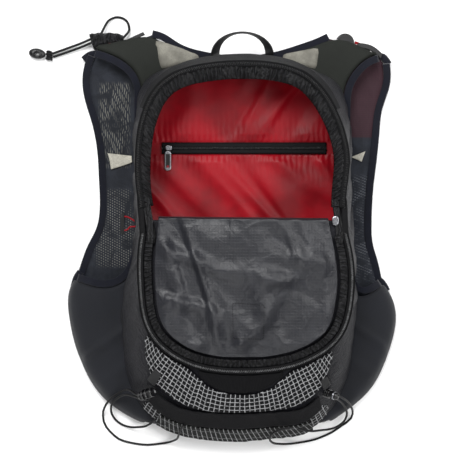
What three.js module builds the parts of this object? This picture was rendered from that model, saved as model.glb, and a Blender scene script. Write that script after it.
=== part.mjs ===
// A running hydration vest that lies on its front: the pack faces up and its flap is folded down.
// Millimetres. X runs across the vest, +Y towards the shoulders, +Z up from the surface it lies on.
import * as THREE from "three";

// Sizes of the pack
const PACK_HALF_WIDTH = 123;
const PACK_HALF_LENGTH = 218;
const PACK_DEPTH = 78;
const PACK_SWELL = 9;
const PACK_WALL = 2;
const FRONT_CROWN = 7;
const LINING_LIFT = 7;
const LINING_WALL = 1.2;
const INNER_WALL = 1;
const FLAP_WALL = 1.5;
const FLAP_LIFT = 4;
const FLAP_FOLD = 3;

// Sizes of the harness
const LEFT_REACH = 76;
const RIGHT_REACH = 53;
const FRONT_WALL = 4;
const TORSO_GAP = 14;
const BACK_WALL = 5;
const YOKE_WALL = 3;
const YOKE_SEAM = 5;
const WING_WALL = 2;
const BINDING_WIDTH = 8;
const BINDING_WALL = 3.2;
const HEM_SAG = 24;
const SHOULDER_RISE = 9;
const SHOULDER_RISE_LENGTH = 14;
const YOKE_ARCH = 1.8;
const YOKE_ARCH_LENGTH = 60;
const YOKE_DROP = 4.4;
const YOKE_DROP_LENGTH = 9;
const STERNUM_STRAP = { width: 20, wall: 2, along: 0.3 };

// Sizes of zips, bands, webbing and cords
const ZIP_WIDTH = 7;
const ZIP_WALL = 2;
const GUSSET_WALL = 1.5;
const POCKET_ZIP = { left: -0.74, right: 0.77, along: 0.52, width: 13, wall: 1.4 };
const BAND_WALL = 1.2;
const WEBBING_WIDTH = 10;
const WEBBING_WALL = 1.5;
const GRAB_LOOP = { halfSpan: 31, reach: 25 };
const BUNGEE = 2.5;
const DRAWCORD = 2.8;
const RED_CORD = 1.8;
const CORD_SIDES = 8;
const ZIP_LIFT = 1.6;
const GUSSET = { top: 12, side: 7, drop: 6, gather: 0.7 };
const GATHERS = 30;
const FLAP_INSET = ZIP_WIDTH / 2 + 12;
const FLAP_START = 0.9;
const FLAP_FLAT = 0.86;
const FRONT_START = 0.5;
const FRONT_SINK = 1.6;
const LINING_INSET = { left: 13.5, right: 17.5, top: 13.5 };
const INNER_WALL_TOP = 0.86;
const POCKET_SLIDER_HEIGHT = 3;
const PULL = { width: 7.5, length: 22, wall: 1.6 };
const STATION_LENGTH = 34;
const LEFT_LOCK = { length: 20, width: 9, height: 8, turn: -3.15, up: 0.42, out: 7.8, tilt: 62 };
const RIGHT_LOCK = { length: 12, radius: 4.5, turn: 3.1, up: 0.42, out: 2, axis: [0.8, -0.25, 0.56] };
const CORD_SEAT = 0.3;
const CORD_LEAD = 4;
const STRAND_SPACE = 1.7;
const SLEEVE = { from: 0.5, to: 0.03, half: [5.5, 10.5], thick: 9, wall: 1.4, pinch: 0.12 };
const SHOULDER_TAPE = { from: 0.55, to: 0.86, near: 1.1, width: 4, arch: 0.6 };
const RED_TAG = { from: 0.27, to: 0.46, near: 1.1, width: 2, arch: 0 };
const SHOULDER_STRAP = { from: 0.03, to: 0.48, near: 0, width: 6, arch: 4 };
const SHOULDER_CAP = { along: 0.68, radius: 10.5, thick: 7, height: 4.6, near: 0 };
const RED_TAG_RIGHT = { along: 0.5, corners: [[-0.52, 4.35], [6.28, 2.05], [6.28, 5.25], [0.48, 7.25]] };
const KNOT = { width: 7.5, length: 13.5, height: 8, place: [-221.3, 220.8, 4.4] };
const TOGGLE = { length: 21, width: 13, height: 9, place: [-235.1, 223.3, 4.9], turn: -0.16 };
const RED_CORD_PULL = { size: [4, 24, 2], place: [-137.4, 28.5, 5.5] };
const PATCH_WALL = 1;
const MAIN_SLIDER = { length: 11, width: 8, height: 4, lift: 2.95 };
const GAP = 0.4;
const SEAM_GAP = 1.1;
const EDGE_GAP = 2;

// Heights of the layers
const BACK_LOW = FRONT_WALL + TORSO_GAP;
const BACK_MIDDLE = BACK_LOW + BACK_WALL / 2;
const PACK_FLOOR = BACK_LOW + BACK_WALL + 1.5;
const BACK_INSET = BINDING_WIDTH + 0.6;

// The pack's outline at half stations: where its wall stands on the back panel (base) and where the zip
// runs (rim). Row 0 is the middle of the bottom, the last row the middle of the top, and row 8 the hinge.
// across and along are shares of the half width and half length, rise of the depth, swell of the swell.
const LEFT_STATIONS = [
  { base: [0, -1.0], rim: [0, -0.61], rise: 0.87, swell: 1.0 },
  { base: [0.3, -0.992], rim: [0.2, -0.605], rise: 0.87, swell: 1.0 },
  { base: [0.6, -0.965], rim: [0.4, -0.585], rise: 0.88, swell: 0.95 },
  { base: [0.9, -0.86], rim: [0.6, -0.535], rise: 0.9, swell: 0.8 },
  { base: [1.06, -0.68], rim: [0.77, -0.455], rise: 0.93, swell: 0.7 },
  { base: [1.11, -0.44], rim: [0.872, -0.335], rise: 0.96, swell: 0.6 },
  { base: [1.08, -0.23], rim: [0.901, -0.172], rise: 0.98, swell: 0.45 },
  { base: [0.995, -0.06], rim: [0.905, -0.02], rise: 1.0, swell: 0.35 },
  { base: [0.97, 0.12], rim: [0.868, 0.146], rise: 1.0, swell: 0.3 },
  { base: [0.972, 0.3], rim: [0.913, 0.292], rise: 1.0, swell: 0.3 },
  { base: [0.982, 0.455], rim: [0.926, 0.44], rise: 1.0, swell: 0.3 },
  { base: [0.989, 0.61], rim: [0.905, 0.585], rise: 0.99, swell: 0.3 },
  { base: [0.985, 0.75], rim: [0.855, 0.695], rise: 0.98, swell: 0.35 },
  { base: [0.915, 0.872], rim: [0.765, 0.795], rise: 0.96, swell: 0.4 },
  { base: [0.725, 0.935], rim: [0.585, 0.876], rise: 0.94, swell: 0.4 },
  { base: [0.4, 0.985], rim: [0.3, 0.915], rise: 0.92, swell: 0.4 },
  { base: [0, 1.0], rim: [0, 0.927], rise: 0.91, swell: 0.4 },
];
const RIGHT_STATIONS = [
  LEFT_STATIONS[0],
  { base: [0.28, -0.985], rim: [0.2, -0.605], rise: 0.87, swell: 1.0 },
  { base: [0.57, -0.96], rim: [0.42, -0.585], rise: 0.88, swell: 0.95 },
  { base: [0.8, -0.86], rim: [0.62, -0.54], rise: 0.9, swell: 0.8 },
  { base: [0.96, -0.7], rim: [0.79, -0.475], rise: 0.93, swell: 0.65 },
  { base: [1.02, -0.5], rim: [0.91, -0.37], rise: 0.96, swell: 0.5 },
  { base: [1.02, -0.27], rim: [0.96, -0.19], rise: 0.98, swell: 0.35 },
  { base: [1.015, -0.07], rim: [0.945, -0.03], rise: 1.0, swell: 0.3 },
  { base: [1.0, 0.12], rim: [0.875, 0.146], rise: 1.0, swell: 0.3 },
  { base: [0.985, 0.3], rim: [0.885, 0.292], rise: 1.0, swell: 0.3 },
  { base: [0.991, 0.455], rim: [0.918, 0.44], rise: 1.0, swell: 0.3 },
  { base: [0.987, 0.61], rim: [0.88, 0.575], rise: 0.99, swell: 0.3 },
  { base: [0.97, 0.74], rim: [0.8, 0.69], rise: 0.98, swell: 0.35 },
  { base: [0.9, 0.86], rim: [0.7, 0.785], rise: 0.96, swell: 0.4 },
  { base: [0.68, 0.925], rim: [0.54, 0.872], rise: 0.94, swell: 0.4 },
  { base: [0.38, 0.982], rim: [0.3, 0.916], rise: 0.92, swell: 0.4 },
  LEFT_STATIONS[16],
];
const HALF_TURN = LEFT_STATIONS.length - 1;
const FULL_TURN = 2 * HALF_TURN;
const HINGE_ROW = 8;

// The harness at each side, as shares: across above 1 runs on from the pack's half width into the reach.
const SIDES = {
  left: {
    sign: -1,
    reach: LEFT_REACH,
    fold: [[1.64, 1.035], [1.4, 1.06], [1.12, 1.07], [0.93, 1.105], [0.827, 1.14]],
    armhole: [[1.6, 1.0], [1.35, 0.97], [1.15, 0.927], [1.01, 0.866], [1.0, 0.77]],
    frontEdge: [
      [1.87, -0.14], [1.72, 0.012], [1.57, 0.11], [1.53, 0.21], [1.545, 0.37],
      [1.57, 0.517], [1.64, 0.65], [1.75, 0.77], [1.8, 0.869], [1.775, 0.95], [1.7, 1.015],
    ],
    centreEdge: [[0.3, -0.92], [0.34, -0.5], [0.38, 0], [0.44, 0.45], [0.57, 0.85], [0.82, 1.12]],
    wing: [
      { turn: 7.1, across: 1.9, along: -0.175 },
      { turn: 6.4, across: 1.99, along: -0.25 },
      { turn: 5.7, across: 1.96, along: -0.36 },
      { turn: 5.0, across: 1.89, along: -0.49 },
      { turn: 4.3, across: 1.7, along: -0.67 },
      { turn: 3.6, across: 1.44, along: -0.79 },
      { turn: 2.9, across: 1.15, along: -0.86 },
      { turn: 2.3, across: 0.955, along: -0.9 },
    ],
    hemSag: 1,
    yokeTurns: [10.9, 15],
  },
  right: {
    sign: 1,
    reach: RIGHT_REACH,
    fold: [[1.7, 0.99], [1.45, 1.015], [1.15, 1.05], [0.93, 1.085], [0.79, 1.118]],
    armhole: [[1.62, 0.975], [1.4, 0.955], [1.2, 0.905], [1.03, 0.835], [1.0, 0.75]],
    frontEdge: [
      [1.7, -0.17], [1.62, -0.07], [1.49, 0.03], [1.477, 0.12], [1.51, 0.307],
      [1.588, 0.459], [1.65, 0.612], [1.69, 0.72], [1.82, 0.811], [1.9, 0.89], [1.86, 0.97],
    ],
    centreEdge: [[0.3, -0.92], [0.33, -0.5], [0.36, 0], [0.42, 0.45], [0.54, 0.85], [0.78, 1.1]],
    wing: [
      { turn: 6.4, across: 1.72, along: -0.2 },
      { turn: 5.9, across: 1.9, along: -0.262 },
      { turn: 5.4, across: 1.985, along: -0.36 },
      { turn: 4.9, across: 1.9, along: -0.48 },
      { turn: 4.3, across: 1.64, along: -0.657 },
      { turn: 3.6, across: 1.33, along: -0.765 },
      { turn: 2.9, across: 1.03, along: -0.825 },
      { turn: 2.3, across: 0.84, along: -0.893 },
    ],
    hemSag: 0.6,
    yokeTurns: [10.9, 15],
  },
};

// The wing's section from the back panel round its fold to the seam under it. out is the share of the way
// from the seam line to the fold, high the share of the back panel's height.
const WING_SECTION = [
  { out: 0, high: 1 },
  { out: 0.22, high: 1.02 },
  { out: 0.45, high: 0.98 },
  { out: 0.66, high: 0.9 },
  { out: 0.82, high: 0.77 },
  { out: 0.94, high: 0.58 },
  { out: 1, high: 0.36 },
  { out: 0.985, high: 0.17 },
  { out: 0.93, high: 0.05 },
  { out: 0.84, high: 0 },
];
const FOLD_ROUND = 6 / (WING_SECTION.length - 1);
const SEAM_OUT = 0.75;
const HEM_FADE = 5;
const HEM_SKEW = 0.7;

// Bands on the outside of the pack: where each starts and ends between base (0) and rim (1).
const TOP_BAND = [
  { turn: 12, low: 0.8, high: 0.97 },
  { turn: 13.5, low: 0.76, high: 0.97 },
  { turn: 14.8, low: 0.55, high: 0.97 },
  { turn: 16, low: 0.45, high: 0.97 },
];
const GRID_HEM = [
  { turn: 0, low: 0.02, high: 0.24 },
  { turn: 1.5, low: 0.02, high: 0.23 },
  { turn: 2.6, low: 0.02, high: 0.2 },
];
const BOTTOM_BAND = [
  { turn: 0, low: 0.27, high: 0.5 },
  { turn: 1.5, low: 0.26, high: 0.48 },
  { turn: 2.4, low: 0.24, high: 0.46 },
  { turn: 3.1, low: 0.3, high: 0.5 },
];
const GRID_POCKET = [
  { turn: 0, low: 0.53, high: 0.74 },
  { turn: 1.2, low: 0.52, high: 0.78 },
  { turn: 2.2, low: 0.54, high: 0.95 },
  { turn: 3.2, low: 0.6, high: 0.96 },
  { turn: 3.9, low: 0.76, high: 0.96 },
  { turn: 4.35, low: 0.9, high: 0.96 },
];
const STRETCH_PANEL = [
  { turn: 0, low: 0.77, high: 0.97 },
  { turn: 1, low: 0.8, high: 0.97 },
  { turn: 1.9, low: 0.93, high: 0.97 },
];
const RIGHT_BAND_SHARE = 0.88;

// The pale patches on the front panels' inner faces
const PATCH_LEFT = [[1.41, 0.5], [1.05, 0.486], [1.04, 0.452], [1.1, 0.443], [1.36, 0.415], [1.38, 0.463]];
const PATCH_RIGHT = [[1.02, 0.48], [1.12, 0.472], [1.26, 0.455], [1.34, 0.51], [1.12, 0.488]];

// Raised folds of the lining and the flap: place as shares, angle from X, the rest in millimetres.
const LINING_FOLDS = [
  { x: -0.35, y: 0.66, angle: 60, long: 26, wide: 9, high: 1.6 },
  { x: 0.2, y: 0.67, angle: 75, long: 22, wide: 8, high: 1.4 },
  { x: -0.25, y: 0.28, angle: 38, long: 50, wide: 12, high: 2.2 },
  { x: 0.15, y: 0.3, angle: 62, long: 34, wide: 10, high: 1.8 },
];
const FLAP_FOLDS = [
  { x: 0.5, y: -0.01, angle: 20, long: 52, wide: 11, high: 4.5 },
  { x: -0.62, y: -0.17, angle: 78, long: 34, wide: 7, high: 3.2 },
  { x: -0.36, y: -0.14, angle: 66, long: 30, wide: 8, high: 2.4 },
  { x: 0.05, y: -0.12, angle: 48, long: 30, wide: 8, high: 1.8 },
  { x: 0.72, y: -0.27, angle: 55, long: 16, wide: 6, high: 2.2 },
];

// Cord routes, chosen points in millimetres from the middle of the pack on the surface. A bungee's first
// points are its lock's.
const CORD_ROUTES = {
  bungee_left_outer: [
    [-129, -158.6, 38], [-141, -164, 28], [-151, -172, 20.5], [-158, -183, 9], [-160, -192, 2.4],
    [-157, -204, 1.5], [-145, -216.8, 1.5], [-134, -222, 1.5], [-112, -225.8, 1.5], [-94, -224.5, 1.5],
    [-84, -222.5, 4], [-77.5, -219, 14], [-73.5, -215, 26], [-71, -207.3, 37.6], [-66.3, -197.6, 48.9],
  ],
  bungee_left_inner: [
    [-131, -164.5, 37], [-141, -169, 27], [-148, -176, 19], [-150, -186.5, 10], [-146, -196, 3.5],
    [-138, -202.5, 2], [-129, -205, 4], [-120.5, -204.5, 10], [-111.5, -202.5, 20], [-104, -198, 30],
    [-97.2, -192, 38.2],
  ],
  bungee_right_outer: [
    [115, -169, 46], [122, -177, 27], [126.5, -188, 8], [124, -196.5, 2], [114, -204, 1.5],
    [101, -212.5, 1.5], [82.5, -220, 1.5], [64, -223.5, 1.5], [52, -224.5, 4], [41.5, -223, 14],
    [34, -220, 26], [30.5, -213.5, 38], [34.5, -206, 47], [44, -202, 50.1], [55, -199.8, 49.7],
  ],
  bungee_right_inner: [
    [110.5, -172, 42], [116, -179.5, 28], [119.5, -189, 14], [116.5, -198, 8], [109, -204, 7.4],
    [99, -206.5, 13], [88.5, -206.3, 24], [79, -205.8, 35], [70.5, -204.2, 41.3], [62.3, -201.2, 45.3],
  ],
  sleeve_loop: [
    [-160.5, 247.9, 7.5], [-154.6, 259.5, 4.5], [-149.3, 263.9, 2], [-143.2, 265.5, 1.6],
    [-136.2, 263.7, 1.6], [-131.3, 258.9, 2], [-129.8, 250, 4], [-133.8, 244, 6],
  ],
  toggle_cord_upper: [[-170.5, 241, 6.8], [-185, 235, 5.2], [-202, 229, 3.8], [-217.9, 223.3, 3.7]],
  toggle_cord_lower: [[-170.5, 236.6, 6.2], [-185, 230.6, 4.6], [-202, 224.6, 3.4], [-217, 219.6, 3.4]],
  red_cord: [
    [-135.1, 36.5, 5.6], [-130.5, 35.6, 5.6], [-123, 31, 5.6], [-119.2, 27.4, 5.6], [-123, 25, 5.6],
    [-128.5, 24.6, 5.6], [-132, 21.2, 5.6], [-135.1, 20.5, 5.6],
  ],
};
const CORD_NODES = [...Object.keys(CORD_ROUTES), "toggle_knot", "toggle"];

const COLOURS = {
  nylon: [0x3a3a42, 0.55],
  navy: [0x1e212d, 0.8],
  olive: [0x323430, 0.9],
  pale: [0xb4b4a8, 0.7],
  slate: [0x373a41, 0.85],
  stretch: [0x26282f, 0.85],
  black: [0x141414, 0.7],
  grid: [0x2a2a2c, 0.7],
  red: [0x9c1029, 0.45],
  ripstop: [0x50535c, 0.45],
  plastic: [0x18181a, 0.4],
  steel: [0x9a9a9a, 0.35],
};

const vest = new THREE.Group();

function add(name, colour, geometry) {
  const [hex, roughness] = COLOURS[colour];
  const metalness = colour === "steel" ? 0.9 : 0;
  const material = new THREE.MeshStandardMaterial({ color: hex, roughness, metalness });
  const mesh = new THREE.Mesh(geometry, material);
  mesh.name = name;
  vest.add(mesh);
  return mesh;
}

const clamp = (value, low, high) => Math.min(Math.max(value, low), high);
const mix = (a, b, t) => a + (b - a) * t;

// Catmull-Rom through four neighbouring values.
function blend4(a, b, c, d, t) {
  return b + 0.5 * t * (c - a + t * (2 * a - 5 * b + 4 * c - d + t * (3 * (b - c) + d - a)));
}

// A value read between the rows of a table, by its place along the rows.
function between(count, place, value) {
  const i = clamp(Math.floor(place), 0, count - 2);
  const row = (k) => value(clamp(k, 0, count - 1));
  return blend4(row(i - 1), row(i), row(i + 1), row(i + 2), place - i);
}

// A wall of even thickness: at(u, v) is a point on its middle, and its sides lie half a wall either way.
function sheet(uSteps, vSteps, wall, at, ring = false) {
  const columns = ring ? uSteps : uSteps + 1;
  const rows = vSteps + 1;
  const middle = [];
  for (let i = 0; i < columns; i++) {
    for (let j = 0; j < rows; j++) {
      middle.push(at(i / uSteps, j / vSteps));
    }
  }
  const column = (i) => (ring ? (i + columns) % columns : clamp(i, 0, columns - 1));
  const point = (i, j) => middle[column(i) * rows + clamp(j, 0, rows - 1)];
  const positions = [];
  for (const side of [0.5, -0.5]) {
    for (let i = 0; i < columns; i++) {
      for (let j = 0; j < rows; j++) {
        const du = point(i + 1, j).clone().sub(point(i - 1, j));
        const dv = point(i, j + 1).clone().sub(point(i, j - 1));
        const out = du.cross(dv).normalize().multiplyScalar(side * wall);
        positions.push(...point(i, j).clone().add(out).toArray());
      }
    }
  }
  const under = columns * rows;
  const faces = [];
  const spans = ring ? columns : columns - 1;
  const id = (i, j) => column(i) * rows + j;
  for (let i = 0; i < spans; i++) {
    for (let j = 0; j < vSteps; j++) {
      const [a, b, c, d] = [id(i, j), id(i + 1, j), id(i + 1, j + 1), id(i, j + 1)];
      faces.push(a, b, c, a, c, d, a + under, c + under, b + under, a + under, d + under, c + under);
    }
  }
  const edge = (p, q) => faces.push(q, p, p + under, q, p + under, q + under);
  for (let i = 0; i < spans; i++) {
    edge(id(i, 0), id(i + 1, 0));
    edge(id(i + 1, vSteps), id(i, vSteps));
  }
  for (let j = 0; j < vSteps && !ring; j++) {
    edge(id(spans, j), id(spans, j + 1));
    edge(id(0, j + 1), id(0, j));
  }
  const geometry = new THREE.BufferGeometry();
  geometry.setAttribute("position", new THREE.Float32BufferAttribute(positions, 3));
  geometry.setIndex(faces);
  geometry.computeVertexNormals();
  return geometry;
}

const v3 = (x, y, z = 0) => new THREE.Vector3(x, y, z);
const spline = (points) => new THREE.CatmullRomCurve3(points, false, "centripetal");

// A share of the pack's width and length, or of the side's reach past it, as a place in plan.
function spot(side, [across, along]) {
  const past = Math.max(across - 1, 0) * side.reach;
  return v3(side.sign * (Math.min(across, 1) * PACK_HALF_WIDTH + past), along * PACK_HALF_LENGTH);
}

// The pack's outlines. A turn counts stations from the middle of the bottom, anticlockwise from above.
function station(turn) {
  const k = ((turn % FULL_TURN) + FULL_TURN) % FULL_TURN;
  const [table, sign, row] = k <= HALF_TURN ? [RIGHT_STATIONS, 1, k] : [LEFT_STATIONS, -1, FULL_TURN - k];
  return { ...table[row], sign };
}

function ringValue(turn, value) {
  const i = Math.floor(turn);
  return blend4(...[-1, 0, 1, 2].map((k) => value(station(i + k))), turn - i);
}

function outline(turn, name) {
  const x = ringValue(turn, (s) => s.sign * s[name][0] * PACK_HALF_WIDTH);
  const y = ringValue(turn, (s) => s[name][1] * PACK_HALF_LENGTH);
  return v3(x, y);
}

const rimHeight = (turn) => PACK_FLOOR + PACK_DEPTH * ringValue(turn, (s) => s.rise);

// A point of an outline moved towards the middle of the pack.
function inset(turn, name, distance) {
  const step = 0.05;
  const along = outline(turn + step, name).sub(outline(turn - step, name)).normalize();
  return outline(turn, name).add(v3(-along.y, along.x).multiplyScalar(distance));
}

function chord(turn, up) {
  const foot = outline(turn, "base").setZ(PACK_FLOOR);
  return foot.lerp(outline(turn, "rim").setZ(rimHeight(turn)), up);
}

// The middle of the pack's wall, swelled between base and rim, or a point a given way out from it.
function wallAt(turn, up, out = 0) {
  const step = 0.05;
  const around = chord(turn + step, up).sub(chord(turn - step, up));
  const upward = chord(turn, 1).sub(chord(turn, 0));
  const normal = around.cross(upward).normalize();
  const swell = PACK_SWELL * ringValue(turn, (s) => s.swell) * Math.sin(Math.PI * up);
  return chord(turn, up).add(normal.multiplyScalar(swell + out));
}

// A strip that follows the rim from one turn to another, between two distances in from it.
function rimStrip(from, to, steps, wall, near, far, lift) {
  return sheet(steps, 1, wall, (u, v) => {
    const turn = mix(from, to, u);
    const place = inset(turn, "rim", mix(near, far, v));
    return place.setZ(rimHeight(turn) + lift);
  });
}

// A band on the outside of the pack from a table of turns, mirrored about the middle.
function outerBand(table, steps, upSteps, gap, middleTurn = 0) {
  const out = (PACK_WALL + BAND_WALL) / 2 + gap;
  const last = table.length - 1;
  return sheet(steps, upSteps, BAND_WALL, (u, v) => {
    const share = 2 * u - 1;
    const place = Math.abs(share) * last;
    const rows = middleTurn ? [...table].reverse() : table;
    const read = (name) => between(rows.length, place, (k) => rows[k][name]);
    const away = middleTurn ? middleTurn - read("turn") : read("turn");
    const reach = middleTurn || share < 0 ? 1 : RIGHT_BAND_SHARE;
    const turn = middleTurn + Math.sign(share) * away * reach;
    return wallAt(turn, mix(read("low"), read("high"), v), out);
  });
}

// Heights of the harness over the surface
function foldLine(side) {
  return spline(side.fold.map((row) => spot(side, row)));
}

function belowFold(side, place) {
  const line = side.fold.map((row) => spot(side, row));
  const reach = (place.x - line[0].x) / (line[line.length - 1].x - line[0].x);
  const at = clamp(reach, 0, 1) * (line.length - 1);
  return between(line.length, at, (k) => line[k].y) - place.y;
}

function yokeHeight(side, place) {
  const below = belowFold(side, place);
  const arch = YOKE_ARCH * Math.sin(Math.PI * clamp(below / YOKE_ARCH_LENGTH, 0, 1));
  const drop = YOKE_DROP * Math.exp(-((below / YOKE_DROP_LENGTH) ** 2));
  return BACK_LOW + YOKE_WALL / 2 + GAP + arch - drop;
}

function frontHeight(side, place) {
  const below = belowFold(side, place);
  return FRONT_WALL / 2 + SHOULDER_RISE * Math.exp(-((below / SHOULDER_RISE_LENGTH) ** 2));
}

// A patch between four curves: low and high run the same way, as do start and end.
function patch(low, high, start, end) {
  return (u, v) => {
    const place = low(u).multiplyScalar(1 - v).add(high(u).multiplyScalar(v));
    place.add(start(v).multiplyScalar(1 - u)).add(end(v).multiplyScalar(u));
    place.sub(low(0).multiplyScalar((1 - u) * (1 - v))).sub(low(1).multiplyScalar(u * (1 - v)));
    return place.sub(high(0).multiplyScalar((1 - u) * v)).sub(high(1).multiplyScalar(u * v));
  };
}

// A curve in plan moved sideways, to the left of its own direction when distance is above 0.
function beside(curve, t, distance) {
  const along = curve.getTangentAt(clamp(t, 0, 1));
  const flat = v3(along.x, along.y).normalize();
  return curve.getPointAt(clamp(t, 0, 1)).add(v3(-flat.y, flat.x).multiplyScalar(distance));
}

// A strip along an edge, wide to the left of the edge's direction, with a slightly crowned face.
function edgeStrip(curve, steps, width, wall) {
  return sheet(steps, 2, wall, (u, v) => {
    const place = beside(curve, u, width * v);
    return place.setZ(place.z + 0.3 * Math.sin(Math.PI * v));
  });
}

// Rounded plates and blocks
function plate(width, length, thickness, radius, bevel = 0) {
  const [w, l] = [width / 2 - bevel, length / 2 - bevel];
  const r = Math.min(radius, w, l) * 0.999;
  const shape = new THREE.Shape();
  shape.absarc(w - r, l - r, r, 0, Math.PI / 2);
  shape.absarc(r - w, l - r, r, Math.PI / 2, Math.PI);
  shape.absarc(r - w, r - l, r, Math.PI, 1.5 * Math.PI);
  shape.absarc(w - r, r - l, r, 1.5 * Math.PI, 2 * Math.PI);
  const depth = thickness - 2 * bevel;
  const settings = { depth, curveSegments: 2, bevelEnabled: bevel > 0 };
  Object.assign(settings, { bevelThickness: bevel, bevelSize: bevel, bevelSegments: 1 });
  return new THREE.ExtrudeGeometry(shape, settings).translate(0, 0, bevel - thickness / 2);
}

function flatPiece(points, thickness, z) {
  const shape = new THREE.Shape(points.map(([x, y]) => new THREE.Vector2(x, y)));
  return new THREE.ExtrudeGeometry(shape, { depth: thickness, bevelEnabled: false }).translate(0, 0, z);
}

function cordSection(diameter) {
  const shape = new THREE.Shape();
  for (let k = 0; k < CORD_SIDES; k++) {
    const angle = ((k + 0.5) / CORD_SIDES) * 2 * Math.PI;
    const [x, y] = [(Math.cos(angle) * diameter) / 2, (Math.sin(angle) * diameter) / 2];
    if (k === 0) {
      shape.moveTo(x, y);
    } else {
      shape.lineTo(x, y);
    }
  }
  return shape;
}

function cord(name, diameter, steps, lead = []) {
  const route = spline([...lead, ...CORD_ROUTES[name].map((p) => v3(...p))]);
  const settings = { steps, extrudePath: route, bevelEnabled: false };
  const colour = diameter === RED_CORD ? "red" : "black";
  add(name, colour, new THREE.ExtrudeGeometry(cordSection(diameter), settings));
}

// A point on the pack's wall with the turn that lays a block's +Z outward and its +Y up the wall.
function seatOnWall(mesh, turn, up, out) {
  const place = wallAt(turn, up, out);
  const outward = wallAt(turn, up, out + 1).sub(place).normalize();
  const upward = wallAt(turn, up + 0.02).sub(wallAt(turn, up - 0.02)).normalize();
  const sideways = upward.clone().cross(outward).normalize();
  const frame = new THREE.Matrix4().makeBasis(sideways, outward.clone().cross(sideways), outward);
  mesh.quaternion.setFromRotationMatrix(frame);
  mesh.position.copy(place);
  return mesh;
}

// Harness
function backPanel() {
  const [low, high] = [0.7, HALF_TURN - 0.7];
  const geometry = sheet(3, 14, BACK_WALL, (u, v) => {
    const turn = mix(low, high, v);
    const clear = BACK_INSET + YOKE_SEAM * clamp(turn - 9.4, 0, 1);
    const place = inset(-turn, "base", clear).lerp(inset(turn, "base", clear), u);
    return place.setZ(BACK_MIDDLE);
  });
  add("back_panel", "slate", geometry);
}

function neckCurve() {
  const points = [
    ...[[0.827, 1.14], [0.735, 1.126], [0.543, 1.056], [0.289, 1.018]].map((row) => spot(SIDES.left, row)),
    v3(0, PACK_HALF_LENGTH + 0.3),
    ...[[0.306, 1.024], [0.535, 1.064], [0.684, 1.095], [0.78, 1.122]].map((row) => spot(SIDES.right, row)),
  ];
  for (const point of points) {
    const side = point.x < 0 ? SIDES.left : SIDES.right;
    point.z = yokeHeight(side, point);
  }
  return spline(points);
}

const NECK = neckCurve();

function armholeCurve(side) {
  const yoke = side.armhole.map((row) => spot(side, row));
  yoke.forEach((point) => point.setZ(yokeHeight(side, point)));
  const turns = [10.6, 9.5, 8.4];
  const behind = turns.map((turn) => inset(side.sign * turn, "base", -GAP).setZ(BACK_LOW + YOKE_WALL));
  const hem = spline([0, 0.1, 0.2, 0.3, 0.4, 0.5, 0.6].map((round) => wingAt(side, 0, round)));
  const away = side.sign * (BINDING_WIDTH + EDGE_GAP);
  const edge = [0.12, 0.25, 0.4, 0.55, 0.7, 0.85, 1].map((t) => beside(hem, t, away));
  return spline([...yoke, ...behind, ...edge]);
}

// A point of the wing: down is its place from the hem to the bottom, round its place along the section.
function wingAt(side, down, round) {
  const rows = side.wing;
  const read = (name) => between(rows.length, down * (rows.length - 1), (k) => rows[k][name]);
  const inner = inset(side.sign * read("turn"), "base", BACK_INSET - SEAM_GAP);
  const fold = spot(side, [read("across"), read("along")]);
  const place = round * (WING_SECTION.length - 1);
  const out = between(WING_SECTION.length, place, (k) => WING_SECTION[k].out);
  const high = between(WING_SECTION.length, place, (k) => WING_SECTION[k].high);
  const point = inner.lerp(fold, out);
  const sag = round < FOLD_ROUND ? HEM_SAG * side.hemSag * Math.exp(-((down * HEM_FADE) ** 2)) : 0;
  point.y -= sag * Math.sin(Math.PI * clamp(out, 0, 1) ** HEM_SKEW);
  return point.setZ(mix(WING_WALL / 2, BACK_LOW + 2.6, high));
}

function wingSeam(side, down) {
  const rows = side.wing;
  const read = (name) => between(rows.length, down * (rows.length - 1), (k) => rows[k][name]);
  const inner = inset(side.sign * read("turn"), "base", BACK_INSET - SEAM_GAP);
  return inner.lerp(spot(side, [read("across"), read("along")]), SEAM_OUT);
}

function yoke(side, name) {
  const fold = foldLine(side);
  const [turnArm, turnNeck] = side.yokeTurns;
  const low = (u) => inset(side.sign * mix(turnArm, turnNeck, u), "base", BACK_INSET + 1);
  const armEdge = spline([...side.armhole].reverse().map((row) => spot(side, row)));
  const clear = BINDING_WIDTH + EDGE_GAP;
  const armClear = side.sign * (clear + GAP * 3);
  const armPoints = [low(0), ...[0.15, 0.35, 0.6, 0.8, 1].map((t) => beside(armEdge, t, armClear))];
  const neckSpans = side.sign < 0 ? [0.4, 0.28, 0.15, 0] : [0.6, 0.74, 0.86, 1];
  const neckPoints = [low(1), ...neckSpans.map((t) => beside(NECK, t, -clear).setZ(0))];
  const start = spline(armPoints);
  const end = spline(neckPoints);
  const top = spline([armPoints.at(-1), fold.getPoint(0.3), fold.getPoint(0.65), neckPoints.at(-1)]);
  const at = patch(low, (u) => top.getPoint(u), (v) => start.getPoint(v), (v) => end.getPoint(v));
  const flip = side.sign > 0;
  const geometry = sheet(6, 6, YOKE_WALL, (u, v) => {
    const place = at(flip ? 1 - u : u, v);
    return place.setZ(yokeHeight(side, place));
  });
  add(name, "olive", geometry);
}

function yokeWindow(side, name, corners) {
  const [neckOuter, neckInner, packOuter, packInner] = corners.map((row) => spot(side, row));
  const lift = (YOKE_WALL + 1) / 2 + GAP;
  const flip = side.sign < 0;
  const geometry = sheet(4, 3, 1, (u, v) => {
    const across = flip ? u : 1 - u;
    const upper = neckOuter.clone().lerp(neckInner, across);
    const place = packOuter.clone().lerp(packInner, across).lerp(upper, v);
    return place.setZ(yokeHeight(side, place) + lift);
  });
  add(name, "pale", geometry);
}

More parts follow.
